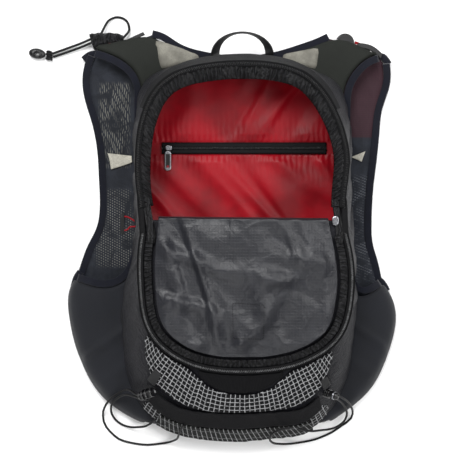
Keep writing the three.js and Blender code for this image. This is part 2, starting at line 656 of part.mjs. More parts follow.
function frontPanel(side, name) {
  const clear = BINDING_WIDTH + (side.sign < 0 ? SEAM_GAP + GAP * 1.5 : EDGE_GAP + GAP * 2);
  const outer = spline(side.frontEdge.map((row) => spot(side, row)));
  const seam = [1, 0.8, 0.6, 0.4, 0.2].map((down) => wingSeam(side, down));
  const shares = [0.08, 0.2, 0.32, 0.45, 0.58, 0.7, 0.82, 0.92, 1];
  const edge = shares.map((t) => beside(outer, t, side.sign * clear));
  const start = spline([...seam, ...edge]);
  const end = spline(side.centreEdge.map((row) => spot(side, row)));
  const inFold = (t) => beside(foldLine(side), t, side.sign * SEAM_GAP);
  const [lowStart, lowEnd] = [start.getPoint(0), end.getPoint(0)];
  const top = spline([start.getPoint(1), inFold(0.25), inFold(0.6), end.getPoint(1)]);
  const low = (u) => lowStart.clone().lerp(lowEnd, u);
  const at = patch(low, (u) => top.getPoint(u), (v) => start.getPoint(v), (v) => end.getPoint(v));
  const flip = side.sign > 0;
  const geometry = sheet(4, 20, FRONT_WALL, (u, v) => {
    const place = at(flip ? 1 - u : u, v);
    return place.setZ(frontHeight(side, place));
  });
  add(name, "slate", geometry);
}

function frontBinding(side, name) {
  const points = side.frontEdge.map((row) => spot(side, row));
  points.forEach((point) => point.setZ(frontHeight(side, point)));
  const curve = spline(side.sign < 0 ? points.reverse() : points);
  add(name, "navy", edgeStrip(curve, 20, BINDING_WIDTH, BINDING_WALL));
}

function armholeBinding(side, name) {
  const curve = armholeCurve(side);
  const points = curve.getSpacedPoints(40);
  const path = spline(side.sign < 0 ? points : points.reverse());
  add(name, "navy", edgeStrip(path, 27, BINDING_WIDTH, BINDING_WALL));
}

function wing(side, name) {
  const flip = side.sign < 0;
  const geometry = sheet(10, 10, WING_WALL, (u, v) => wingAt(side, v, flip ? 1 - u : u));
  add(name, "stretch", geometry);
}

function harness() {
  backPanel();
  yoke(SIDES.left, "yoke_left");
  yoke(SIDES.right, "yoke_right");
  yokeWindow(SIDES.left, "yoke_window_left", [[0.78, 1.07], [0.42, 1.0], [0.73, 0.95], [0.42, 0.988]]);
  yokeWindow(SIDES.right, "yoke_window_right", [[0.68, 1.03], [0.4, 1.0], [0.66, 0.95], [0.4, 0.99]]);
  const neck = spline(NECK.getSpacedPoints(30).reverse());
  add("neck_binding", "navy", edgeStrip(neck, 24, BINDING_WIDTH, BINDING_WALL));
  for (const [word, side] of Object.entries(SIDES)) {
    armholeBinding(side, `armhole_binding_${word}`);
    frontPanel(side, `front_panel_${word}`);
    frontBinding(side, `front_binding_${word}`);
    wing(side, `side_wing_${word}`);
  }
}

// Pack
function frontPlace(start, clear, u, v) {
  const turn = mix(start, HINGE_ROW, v);
  return inset(-turn, "rim", clear).lerp(inset(turn, "rim", clear), u);
}

// The pack's front lies just below the rim and is crowned between its sides.
function packFrontHeight(place) {
  const table = place.x < 0 ? LEFT_STATIONS : RIGHT_STATIONS;
  const along = clamp(place.y / PACK_HALF_LENGTH, table[0].rim[1], table[HINGE_ROW].rim[1]);
  const above = table.findIndex((row, k) => k > 0 && row.rim[1] >= along);
  const [low, high] = [table[above - 1], table[above]];
  const t = (along - low.rim[1]) / (high.rim[1] - low.rim[1]);
  const halfWidth = mix(low.rim[0], high.rim[0], t) * PACK_HALF_WIDTH;
  const across = clamp(Math.abs(place.x) / Math.max(halfWidth, 1), 0, 1);
  const share = (along - table[0].rim[1]) / (table[HINGE_ROW].rim[1] - table[0].rim[1]);
  const crown = FRONT_CROWN * (1 - across ** 2) * Math.sin(0.75 * Math.PI * share);
  return PACK_FLOOR + PACK_DEPTH * mix(low.rise, high.rise, t) - FRONT_SINK + crown;
}

function frontAt(u, v) {
  const place = frontPlace(FRONT_START, PACK_WALL / 2 + SEAM_GAP, u, v);
  return place.setZ(packFrontHeight(place));
}

// A raised fold: a ridge of a given length and width that fades out all round.
function ridge(place, fold) {
  const dx = place.x - fold.x * PACK_HALF_WIDTH;
  const dy = place.y - fold.y * PACK_HALF_LENGTH;
  const angle = THREE.MathUtils.degToRad(fold.angle);
  const along = (dx * Math.cos(angle) + dy * Math.sin(angle)) / fold.long;
  const across = (dy * Math.cos(angle) - dx * Math.sin(angle)) / fold.wide;
  return fold.high * Math.exp(-(along ** 2) - across ** 2);
}

const folds = (place, table) => table.reduce((sum, fold) => sum + ridge(place, fold), 0);

// The flap lies on the pack's front; its last row turns down over the hinge.
function flapAt(u, v) {
  const flat = clamp(v / FLAP_FLAT, 0, 1);
  const over = clamp((v - FLAP_FLAT) / (1 - FLAP_FLAT), 0, 1);
  const place = frontPlace(FLAP_START, FLAP_INSET, u, flat);
  place.z = packFrontHeight(place) + (PACK_WALL + FLAP_WALL) / 2 + FLAP_LIFT + folds(place, FLAP_FOLDS);
  place.y += FLAP_FOLD * Math.sin((over * Math.PI) / 2);
  place.z -= (FLAP_LIFT + FLAP_WALL) * over ** 2;
  return place;
}

const liningFloor = PACK_FLOOR + LINING_LIFT;

function liningPlace(turnLow, turnHigh, u, v) {
  const turn = mix(turnLow, turnHigh, v);
  const left = inset(-turn, "base", LINING_INSET.left);
  return left.lerp(inset(turn, "base", LINING_INSET.right), u);
}

function liningHeight(place) {
  return liningFloor + folds(place, LINING_FOLDS);
}

function innerWallAt(u, v) {
  const turn = mix(HINGE_ROW + 0.2, FULL_TURN - HINGE_ROW - 0.2, u);
  const side = turn < HALF_TURN ? "right" : "left";
  const share = Math.abs(turn - HALF_TURN) / (HALF_TURN - HINGE_ROW);
  const inward = mix(LINING_INSET.top, LINING_INSET[side], share) - INNER_WALL / 2 - SEAM_GAP;
  const foot = inset(turn, "base", inward).setZ(liningFloor);
  const top = wallAt(turn, INNER_WALL_TOP, -(PACK_WALL + INNER_WALL) / 2 - EDGE_GAP);
  return foot.lerp(top, v);
}

function bagShell() {
  add("pack_wall", "nylon", sheet(42, 4, PACK_WALL, (u, v) => wallAt(FULL_TURN * u, v), true));
  add("pack_front", "nylon", sheet(6, 8, PACK_WALL, frontAt));
  add("top_band", "black", outerBand(TOP_BAND, 16, 1, SEAM_GAP, HALF_TURN));
  add("inner_wall", "ripstop", sheet(24, 2, INNER_WALL, innerWallAt));
  const lining = sheet(8, 11, LINING_WALL, (u, v) => {
    const place = liningPlace(2, HALF_TURN - 0.7, u, v);
    return place.setZ(liningHeight(place));
  });
  add("lining", "red", lining);
}

// Gathers: every other section of a gusset stands a little higher at its free edge.
function gather(u, v) {
  return GUSSET.gather * v * Math.cos(Math.PI * u * GATHERS);
}

function openingZip() {
  const half = ZIP_WIDTH / 2;
  const [start, end] = [HINGE_ROW + 0.4, FULL_TURN - HINGE_ROW - 0.4];
  add("body_zip", "black", rimStrip(start, end, 32, ZIP_WALL, -half, half, ZIP_LIFT));
  const width = (turn) => {
    const share = Math.abs(turn - HALF_TURN) / (HALF_TURN - HINGE_ROW);
    return half + GAP + mix(GUSSET.top, GUSSET.side, share ** 2);
  };
  const gusset = sheet(GATHERS, 2, GUSSET_WALL, (u, v) => {
    const turn = mix(start, end, u);
    const place = inset(turn, "rim", mix(half + SEAM_GAP, width(turn), v));
    return place.setZ(rimHeight(turn) + ZIP_LIFT - GUSSET.drop * v * v + gather(u, v));
  });
  add("body_gusset", "black", gusset);
}

function flap() {
  add("flap", "ripstop", sheet(10, 10, FLAP_WALL, flapAt));
  const half = ZIP_WIDTH / 2;
  const end = HINGE_ROW - 0.4;
  const lift = ZIP_LIFT + 0.6;
  add("flap_zip", "black", rimStrip(-end, end, 32, ZIP_WALL, -half, half, lift));
  const gusset = sheet(GATHERS, 2, GUSSET_WALL, (u, v) => {
    const turn = mix(-end, end, u);
    const place = inset(turn, "rim", mix(half + SEAM_GAP, FLAP_INSET - SEAM_GAP, v));
    const high = packFrontHeight(place) + (PACK_WALL + GUSSET_WALL) / 2 + FLAP_LIFT;
    return place.setZ(mix(rimHeight(turn) + lift, high, v) + gather(u, v));
  });
  add("flap_gusset", "black", gusset);
}

function pocketZip() {
  const { left, right, along, width, wall } = POCKET_ZIP;
  const lift = LINING_WALL / 2 + GAP + wall / 2;
  const tape = sheet(8, 1, wall, (u, v) => {
    const x = mix(left, right, u) * PACK_HALF_WIDTH;
    const place = v3(x, along * PACK_HALF_LENGTH + (v - 0.5) * width);
    return place.setZ(liningHeight(place) + lift);
  });
  add("pocket_zip", "black", tape);
  const top = liningFloor + LINING_WALL / 2 + 2 * GAP + wall;
  const slider = add("pocket_slider", "steel", plate(8, 6, POCKET_SLIDER_HEIGHT, 2, 0.6));
  const x = left * PACK_HALF_WIDTH + 8;
  slider.position.set(x, along * PACK_HALF_LENGTH, top + POCKET_SLIDER_HEIGHT / 2 + 0.3);
  const pull = add("pocket_pull", "steel", plate(PULL.width, PULL.length, PULL.wall, 2.5, 0.4));
  const pullY = along * PACK_HALF_LENGTH - 3 - GAP - PULL.length / 2;
  pull.position.set(x - 1, pullY, top + PULL.wall / 2 + 0.5);
}

function lowerBands() {
  add("grid_hem", "grid", outerBand(GRID_HEM, 16, 1, SEAM_GAP / 2));
  add("bottom_band", "black", outerBand(BOTTOM_BAND, 20, 1, SEAM_GAP / 2));
  add("grid_pocket", "grid", outerBand(GRID_POCKET, 24, 2, SEAM_GAP * 0.7));
  add("stretch_panel", "black", outerBand(STRETCH_PANEL, 12, 1, GAP));
}

function grabLoop() {
  const { halfSpan, reach } = GRAB_LOOP;
  const start = PACK_HALF_LENGTH + PACK_WALL / 2 + GAP;
  const low = PACK_FLOOR + WEBBING_WALL / 2 - 0.3;
  const geometry = sheet(16, 1, WEBBING_WALL, (u, v) => {
    const angle = Math.PI * (1 - u);
    const twist = (Math.PI / 2) * Math.sin(angle) ** 0.7;
    const out = (0.5 - v) * WEBBING_WIDTH;
    const lean = out * Math.cos(twist);
    const x = (halfSpan + lean) * Math.cos(angle);
    const y = start + (reach + lean) * Math.sin(angle);
    const rise = (WEBBING_WIDTH / 2) * Math.sin(twist);
    return v3(x, y, low + rise + out * Math.sin(twist));
  });
  add("grab_loop", "black", geometry);
}

// A webbing tab sewn to the pack's wall, from one height to another.
function tab(name, turn, low, high) {
  const out = PACK_WALL / 2 + BAND_WALL + WEBBING_WALL / 2 + SEAM_GAP;
  const half = WEBBING_WIDTH / 2 / STATION_LENGTH;
  const at = (u, v) => wallAt(turn + mix(-half, half, u), mix(low, high, v), out);
  add(name, "black", sheet(2, 3, WEBBING_WALL, at));
}

// The left lock lies along the wall, turned up it. Its cords come out of its outer end.
function leftLock() {
  const { length, width, height, turn, up, out, tilt } = LEFT_LOCK;
  const lock = add("cord_lock_left", "plastic", plate(length, width, height, 2, 1));
  seatOnWall(lock, turn, up, out).rotateZ(THREE.MathUtils.degToRad(tilt));
  lock.updateMatrix();
  return [1, -1].map((side) => [CORD_SEAT, CORD_SEAT + CORD_LEAD].map((gap) => {
    return v3(-length / 2 - gap, side * STRAND_SPACE, 0).applyMatrix4(lock.matrix);
  }));
}

// The right lock is a round barrel that stands off the wall. Its cords come out of its button.
function rightLock() {
  const { length, radius, turn, up, out, axis } = RIGHT_LOCK;
  const face = radius - 1;
  const profile = [[0, 0], [face, 0], [radius, 1], [radius, length - 1], [face, length], [0, length]];
  const barrel = new THREE.LatheGeometry(profile.map((p) => new THREE.Vector2(...p)), 12);
  const lock = add("cord_lock_right", "plastic", barrel);
  lock.position.copy(wallAt(turn, up, out));
  lock.quaternion.setFromUnitVectors(v3(0, 1), v3(...axis).normalize());
  const forward = v3(...axis).normalize();
  const sideways = v3(-axis[1], axis[0]).normalize();
  return [1, -1].map((side) => [CORD_SEAT, CORD_SEAT + CORD_LEAD].map((gap) => {
    const start = lock.position.clone().add(forward.clone().multiplyScalar(length + gap));
    return start.add(sideways.clone().multiplyScalar(side * STRAND_SPACE));
  }));
}

// A place past a shoulder's fold line, on the side away from the pack.
function pastFold(side, t, distance) {
  return beside(foldLine(side), t, -side.sign * distance).setZ(FRONT_WALL / 2 + SHOULDER_RISE);
}

// A strip of tape that runs along a shoulder's fold line from one share of it to another.
function shoulderTape(side, name, colour, { from, to, near, width, arch }) {
  const flip = side.sign > 0;
  add(name, colour, sheet(8, 1, WEBBING_WALL, (u, v) => {
    const distance = near + width * (flip ? 1 - v : v) + arch * Math.sin(Math.PI * u);
    return pastFold(side, mix(from, to, flip ? 1 - u : u), distance);
  }));
}

// A gathered tube of cloth, wider towards its outer end.
function shoulderSleeve() {
  const { from, to, half, thick, wall, pinch } = SLEEVE;
  add("shoulder_sleeve", "black", sheet(12, 5, wall, (u, v) => {
    const angle = 2 * Math.PI * u;
    const full = 1 - pinch * Math.cos(5 * Math.PI * v) ** 2;
    const wide = mix(half[0], half[1], v) * full;
    const away = mix(1.2, 0, v) + wall / 2 + wide * (1 + Math.cos(angle));
    const place = pastFold(SIDES.left, mix(from, to, v), away);
    return place.setZ(wall + (thick / 2) * (1 + full * Math.sin(angle)));
  }, true));
}

function ball(sizeX, sizeY, sizeZ, around, down) {
  const shape = new THREE.Shape();
  shape.moveTo(0, -0.5);
  for (let k = 1; k < down; k++) {
    const angle = (Math.PI * k) / down;
    shape.lineTo(0.5 * Math.sin(angle), -0.5 * Math.cos(angle));
  }
  shape.lineTo(0, 0.5);
  return new THREE.LatheGeometry(shape.getPoints(), around).rotateX(Math.PI / 2).scale(sizeX, sizeY, sizeZ);
}

function shoulderFittings() {
  shoulderTape(SIDES.left, "shoulder_tape", "black", SHOULDER_TAPE);
  shoulderTape(SIDES.left, "red_tag_left", "red", RED_TAG);
  shoulderTape(SIDES.right, "shoulder_strap", "black", SHOULDER_STRAP);
  shoulderSleeve();
  const { along, radius, thick, height, near } = SHOULDER_CAP;
  const half = new THREE.Shape();
  half.absarc(0, 0, radius, 0, Math.PI);
  const dome = new THREE.ExtrudeGeometry(half, { depth: thick, curveSegments: 8, bevelEnabled: false });
  const cap = add("shoulder_cap", "plastic", dome);
  const low = pastFold(SIDES.right, along, near);
  const direction = foldLine(SIDES.right).getTangentAt(along);
  cap.position.copy(low).setZ(height);
  cap.rotation.z = Math.atan2(-direction.y, -direction.x);
  const tag = add("red_tag_right", "red", flatPiece(RED_TAG_RIGHT.corners, PATCH_WALL, 0));
  tag.position.copy(foldLine(SIDES.right).getPointAt(RED_TAG_RIGHT.along)).setZ(height + 3);
}

function toggleAndKnot() {
  const knot = add("toggle_knot", "black", ball(KNOT.width, KNOT.length, KNOT.height, 8, 5));
  knot.position.set(...KNOT.place);
  const toggle = add("toggle", "plastic", ball(TOGGLE.length, TOGGLE.width, TOGGLE.height, 12, 7));
  toggle.position.set(...TOGGLE.place);
  toggle.rotation.z = TOGGLE.turn;
  add("red_cord_pull", "plastic", plate(...RED_CORD_PULL.size, 1)).position.set(...RED_CORD_PULL.place);
}

function sternumStrap() {
  const { width, wall, along } = STERNUM_STRAP;
  const edgeAt = (side) => {
    const rows = side.centreEdge;
    const k = rows.findIndex((row) => row[1] > along);
    const t = (along - rows[k - 1][1]) / (rows[k][1] - rows[k - 1][1]);
    return side.sign * mix(rows[k - 1][0], rows[k][0], t) * PACK_HALF_WIDTH;
  };
  const [left, right] = [edgeAt(SIDES.left) + EDGE_GAP, edgeAt(SIDES.right) - EDGE_GAP];
  const strap = add("sternum_strap", "black", plate(right - left, width, wall, 1));
  strap.position.set((left + right) / 2, along * PACK_HALF_LENGTH, wall / 2);
}

function frontPatches() {
  const z = FRONT_WALL + GAP;
  const corners = (side, rows) => rows.map((row) => spot(side, row).toArray());
  add("front_patch_left", "pale", flatPiece(corners(SIDES.left, PATCH_LEFT), PATCH_WALL, z));
  add("front_patch_right", "pale", flatPiece(corners(SIDES.right, PATCH_RIGHT), PATCH_WALL, z));
}

function mainSlider() {
  const { length, width, height } = MAIN_SLIDER;
  const slider = add("main_slider", "steel", plate(width, length, height, width / 2, 0.8));
  const place = inset(HINGE_ROW, "rim", FLAP_INSET - width);
  slider.position.copy(place).setZ(rimHeight(HINGE_ROW) + MAIN_SLIDER.lift);
}

function fittings() {
  tab("tab_left", -3.25, 0.56, 0.74);
  tab("tab_right", 3.1, 0.56, 0.7);
  shoulderFittings();
  toggleAndKnot();
  sternumStrap();
  frontPatches();
  mainSlider();
}

// Cords. The strands of a bungee start at its lock.
function cords() {
  const [leftOuter, leftInner] = leftLock();
  const [rightOuter, rightInner] = rightLock();
  cord("bungee_left_outer", BUNGEE, 19, leftOuter);
  cord("bungee_left_inner", BUNGEE, 14, leftInner);
  cord("bungee_right_outer", BUNGEE, 19, rightOuter);
  cord("bungee_right_inner", BUNGEE, 13, rightInner);
  cord("sleeve_loop", DRAWCORD, 8);
  cord("toggle_cord_upper", DRAWCORD, 3);
  cord("toggle_cord_lower", DRAWCORD, 3);
  cord("red_cord", RED_CORD, 8);
}

harness();
bagShell();
openingZip();
flap();
pocketZip();
lowerBands();
grabLoop();
fittings();
cords();

// The base of the object: the middle of its box, cords left out, on the surface.
const box = new THREE.Box3();
for (const piece of vest.children) {
  if (!CORD_NODES.includes(piece.name)) {
    box.expandByObject(piece);
  }
}
const middle = box.getCenter(v3(0, 0));
vest.position.set(-middle.x, -middle.y, -box.min.z);

export default vest;
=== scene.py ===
"""The looks of a running hydration vest that lies on its front, pack side up, with its pack unzipped."""
import math

import bmesh
import bpy
import numpy as np
from bpy.props import FloatProperty, FloatVectorProperty, PointerProperty
from mathutils import Matrix, Vector, noise
from mathutils.kdtree import KDTree


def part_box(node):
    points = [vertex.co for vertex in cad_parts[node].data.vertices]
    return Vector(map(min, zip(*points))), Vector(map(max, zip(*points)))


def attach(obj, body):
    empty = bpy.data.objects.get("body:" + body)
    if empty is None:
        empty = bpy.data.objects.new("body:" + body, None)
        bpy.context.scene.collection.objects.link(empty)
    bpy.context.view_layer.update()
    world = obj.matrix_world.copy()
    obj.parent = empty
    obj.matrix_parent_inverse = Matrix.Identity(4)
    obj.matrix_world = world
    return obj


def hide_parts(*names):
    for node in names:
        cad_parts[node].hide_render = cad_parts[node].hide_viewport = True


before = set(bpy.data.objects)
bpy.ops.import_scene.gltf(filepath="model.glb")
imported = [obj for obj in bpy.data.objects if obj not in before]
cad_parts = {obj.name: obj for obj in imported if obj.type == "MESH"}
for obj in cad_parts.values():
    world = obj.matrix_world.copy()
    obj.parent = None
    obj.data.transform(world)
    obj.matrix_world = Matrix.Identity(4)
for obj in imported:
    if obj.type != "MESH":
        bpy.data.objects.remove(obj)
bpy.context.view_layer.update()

bl_info = {
    "name": "Running Vest",
    "version": (1, 0, 0),
    "blender": (4, 5, 0),
    "location": "View3D > Sidebar > Vest",
    "description": "Builds the cloth, zips, webbing and cords of a running vest around its frame",
    "category": "Add Mesh",
}

MM = 0.001
PACK_CENTRE = (11.504 * MM, -15.129 * MM)
CAMERA_PLACE = (-2.5 * MM, 5.87 * MM, 1.8)
CAMERA_VIEW = 2 * math.atan(264.5 / 1800)

# Angles in degrees: edges that stay creased when a solid is rounded, edges that are shaded sharp, and the
# limits under which two triangles of a solid are joined.
CREASE_ANGLE = 48
SHARP_ANGLE = 55
JOIN_ANGLES = {"angle_face_threshold": math.radians(35), "angle_shape_threshold": math.radians(75)}
# Times that a rounded copy's long edges are halved.
CUT_ROUNDS = 4

# A sheet's rim tucks down by RIM_TUCK under its binding, and its folds fade over RIM_CALM beside it.
# Above SHOULDER_LINE, a sheet that spreads by more than WIDE_SPREAD spreads by only SHOULDER_SHARE of it.
RIM_TUCK = 1.4 * MM
RIM_CALM = 9 * MM
SHOULDER_LINE = 212 * MM
WIDE_SPREAD = 4 * MM
SHOULDER_SHARE = 0.1

# Steps round the pack for a band's coordinates and for the lines along its zips.
TURN_BINS = 144
LINE_BINS = 220

# Steps between two given points of a smooth line, then the points of a hinge tape, a binding's corner, the
# knot, one turn of a coil, one side of the flap's square, the pocket's zip and a cord.
FLOW_STEPS = 16
HINGE_POINTS = 14
CORNER_POINTS = 10
KNOT_POINTS = 120
COIL_POINTS = 7
SQUARE_POINTS = 10
ZIP_POINTS = 20
ROUTE_POINTS = 36

# A coil's height as a share of its width, a stitch's share of its spacing, a zip's seams across its width,
# the knot's turns, and the toggle's turn on the floor in radians.
COIL_FLATNESS = 0.55
STITCH_SHARE = 0.62
SEAM_SHARES = (0.1, 0.9)
KNOT_TURNS = 3.5
TOGGLE_TILT = 0.16
# A tape's section: shares of its width across and of its thickness down.
RIBBON_SECTION = ((-0.5, 1), (-0.5, 0.45), (-0.3, 0.12), (0, 0), (0.3, 0.12), (0.5, 0.45), (0.5, 1), (0, 1))

# The cords' routes in millimetres from the middle of the pack, from where each leaves its fitting.
CORD_ROUTES = {
    "bungee_left_outer": [
        (-114.2, -162.5, 58.3), (-117, -163.7, 55.7), (-129, -158.6, 38), (-141, -164, 28),
        (-151, -172, 20.5), (-158, -183, 9), (-160, -192, 2.4), (-157, -204, 1.5), (-145, -216.8, 1.5),
        (-134, -222, 1.5), (-112, -225.8, 1.5), (-94, -224.5, 1.5), (-84, -222.5, 4), (-77.5, -219, 14),
        (-73.5, -215, 26), (-71, -207.3, 37.6), (-66.3, -197.6, 48.9)],
    "bungee_left_inner": [
        (-112.4, -165.4, 57.6), (-115.2, -166.5, 55), (-131, -164.5, 37), (-141, -169, 27), (-148, -176, 19),
        (-150, -186.5, 10), (-146, -196, 3.5), (-138, -202.5, 2), (-129, -205, 4), (-120.5, -204.5, 10),
        (-111.5, -202.5, 20), (-104, -198, 30), (-97.2, -192, 38.2)],
    "bungee_right_outer": [
        (106.1, -162.2, 66.9), (102.9, -161.2, 64.7), (115, -169, 46), (122, -177, 27), (126.5, -188, 8),
        (124, -196.5, 2), (114, -204, 1.5), (101, -212.5, 1.5), (82.5, -220, 1.5), (64, -223.5, 1.5),
        (52, -224.5, 4), (41.5, -223, 14), (34, -220, 26), (30.5, -213.5, 38), (34.5, -206, 47),
        (44, -202, 50.1), (55, -199.8, 49.7)],
    "bungee_right_inner": [
        (105.1, -165.4, 66.9), (101.9, -164.4, 64.7), (110.5, -172, 42), (116, -179.5, 28), (119.5, -189, 14),
        (116.5, -198, 8), (109, -204, 7.4), (99, -206.5, 13), (88.5, -206.3, 24), (79, -205.8, 35),
        (70.5, -204.2, 41.3), (62.3, -201.2, 45.3)],
    "sleeve_loop": [
        (-163.5, 241, 9), (-160.5, 247.9, 7.5), (-154.6, 259.5, 4.5), (-149.3, 263.9, 2),
        (-143.2, 265.5, 1.6),
        (-136.2, 263.7, 1.6), (-131.3, 258.9, 2), (-129.8, 250, 4), (-133.8, 244, 6), (-137.5, 240, 8)],
    "toggle_cord_upper": [(-170.5, 241, 6.8), (-185, 235, 5.2), (-202, 229, 3.8), (-217.9, 223.3, 3.7)],
    "toggle_cord_lower": [(-170.5, 236.6, 6.2), (-185, 230.6, 4.6), (-202, 224.6, 3.4), (-217, 219.6, 3.4)],
    "red_cord": [
        (-135.1, 36.5, 5.6), (-130.5, 35.6, 5.6), (-123, 31, 5.6), (-119.2, 27.4, 5.6), (-123, 25, 5.6),
        (-128.5, 24.6, 5.6), (-132, 21.2, 5.6), (-135.1, 20.5, 5.6)],
}

# Each kind of cord's thickness (one of the sizes), far end, stiffness, finish and slot.
CORD_FACTS = {
    "bungee": ("bungee", "object", "medium", "black_cord", "cord"),
    "sleeve": ("drawcord", "object", "medium", "black_cord", "cord"),
    "toggle": ("drawcord", "knot", "medium", "black_cord", "cord"),
    "red": ("red_cord", "object", "limp", "red_braid", "red_cord"),
}

# Short ends of binding that join the front panels' bindings to the shoulders' and the wings', mm.
BINDING_CORNERS = {
    "shoulder_left": [(-182, 216, 8), (-174, 221.5, 9.5), (-164, 223, 10)],
    "shoulder_right": [(156, 220, 9.5), (162, 218.5, 9), (168, 210.8, 8)],
    "wing_left": [(-185.5, -27, 5), (-190, -34, 5.5), (-193, -44, 6)],
    "wing_right": [(156.5, -36, 5), (161.5, -41, 5.5), (166, -49, 6)],
}

# The patches of grid cloth beside the bottom band: two corners each, mm.
GRID_PATCHES = {"left": ((-112, -206, 22), (-76, -173, 56)), "right": ((64, -206, 22), (96, -176, 52))}

# The stitched square's corners on the flap, mm.
FLAP_SQUARE = [(-11.5, -58), (23, -60), (22, -97), (-10.5, -96)]

# Turned parts of the cord locks: distance along the axis and radius, mm.
RIM_PROFILE = (
    (-1.4, 3.2), (-1.4, 4.6), (-0.9, 5.1), (0.3, 5.1), (0.8, 4.7), (0.9, 3.9), (0.2, 3.4), (0.2, 0.5))
BUTTON_PROFILE = (
    (-1.5, 4.2), (-0.6, 4.7), (0.3, 4.7), (0.8, 4.3), (0.7, 3.7), (1.1, 3.3), (1.7, 2.4), (2, 1.1),
    (2.1, 0.2))
RIB_PROFILE = ((-0.7, 2.6), (-0.7, 4.9), (-0.3, 5.3), (0.3, 5.3), (0.7, 4.9), (0.7, 2.6))
RING_PROFILE = tuple((along, radius + 0.9) for along, radius in RIB_PROFILE)
LEFT_LOCK = {"place": (-106.1, -161.0, 64.7), "axis": (0.698, 0.282, 0.658)}
RIGHT_LOCK = {"place": (95.8, -160.8, 60.1), "axis": (0.794, -0.248, 0.556)}
# The lock, a part's name, its profile, finish and slot, and its places along the axis, mm.
LOCK_PARTS = (
    (LEFT_LOCK, "left_lock_end_", RIM_PROFILE, "shiny", "black_plastic", (-9.6, 9.6)),
    (LEFT_LOCK, "left_lock_ring_", RING_PROFILE, "shiny", "black_plastic", (-3.5, 2.5)),
    (RIGHT_LOCK, "right_lock_button", BUTTON_PROFILE, "metal", "bright_metal", (7.6,)),
    (RIGHT_LOCK, "right_lock_rib_", RIB_PROFILE, "shiny", "black_plastic", (-5.5, -3.2, -0.9, 1.4)),
)

# The soft boxes: name, place and size in metres, and power in watts.
SOFT_BOXES = (
    ("key", (-0.45, 1.0, 1.6), 1.0, 52),
    ("fill", (1.1, 0.3, 1.5), 1.2, 30),
    ("low", (-0.3, -1.2, 1.4), 1.3, 18),
)
WORLD_SHARE = 0.42


def linear(*levels):
    """A colour in linear light from its display levels, 0 to 255."""
    shares = [v / 255 for v in levels]
    return tuple(s / 12.92 if s <= 0.04045 else ((s + 0.055) / 1.055) ** 2.4 for s in shares)


def colour_property(name, description, levels):
    return FloatVectorProperty(
        name=name, description=description, subtype="COLOR", size=3, min=0, max=1, default=linear(*levels))


def length_property(name, description, millimetres):
    return FloatProperty(
        name=name, description=description, default=millimetres * MM, unit="LENGTH", precision=4)


class VestColours(bpy.types.PropertyGroup):
    """Colours of the vest's cloths and fittings."""
    navy: colour_property("Navy", "Bindings", (15, 17, 27))
    olive: colour_property("Olive", "Shoulder cloth", (35, 37, 34))
    pale: colour_property("Pale", "Pale inserts and patches", (180, 177, 165))
    charcoal: colour_property("Charcoal", "Ripstop of the pack's wall", (24, 24, 29))
    ash: colour_property("Ash", "Inner face of the flap", (34, 35, 41))
    red: colour_property("Red", "Lining and red cord", (134, 1, 17))
    slate: colour_property("Slate", "Mesh of the front and back panels", (32, 35, 42))
    maroon: colour_property("Maroon", "Red-brown mesh of the right shoulder", (52, 32, 39))
    wing: colour_property("Wing", "Stretch cloth of the side wings", (18, 20, 26))
    black: colour_property("Black", "Bands, webbing, zips and cords", (9, 9, 11))
    thread: colour_property("Thread", "Light threads of the grid cloth and seams", (165, 166, 168))
    metal: colour_property("Metal", "Zip sliders and the lock's button", (170, 171, 176))


class VestSizes(bpy.types.PropertyGroup):
    """Sizes of what is laid over the frame."""
    bungee: length_property("Bungee", "Thickness of the elastic cords", 2.5)
    drawcord: length_property("Drawcord", "Thickness of the shoulder cords", 2.8)
    red_cord: length_property("Red cord", "Thickness of the red elastic", 1.8)
    grid: length_property("Grid", "Spacing of the grid cloth's light threads", 5.4)
    ripstop: length_property("Ripstop", "Spacing of the ripstop's thick threads", 3.2)
    coil_pitch: length_property("Coil pitch", "Spacing of the zip coil's turns", 1.9)
    stitch: length_property("Stitch", "Length of a seam's stitch", 2.6)
    wrinkle: length_property("Wrinkle", "Height of the pack cloth's wrinkles", 2.2)
    pleat: length_property("Pleat", "Height of the gussets' gathers", 1.5)


class VestStage(bpy.types.PropertyGroup):
    """Floor, light and camera."""
    floor_tone: FloatProperty(name="Floor", description="Tone of the floor", default=0.97, min=0, max=1)
    light: FloatProperty(name="Light", description="Strength of the soft boxes", default=0.7, min=0)
    sensor: FloatProperty(name="Sensor", description="Width of the camera's sensor", default=36, min=1)
    floor_size: length_property("Floor size", "Width of the floor", 6000)


def colours():
    return bpy.context.scene.vest_colours


def sizes():
    return bpy.context.scene.vest_sizes


# Shader maths

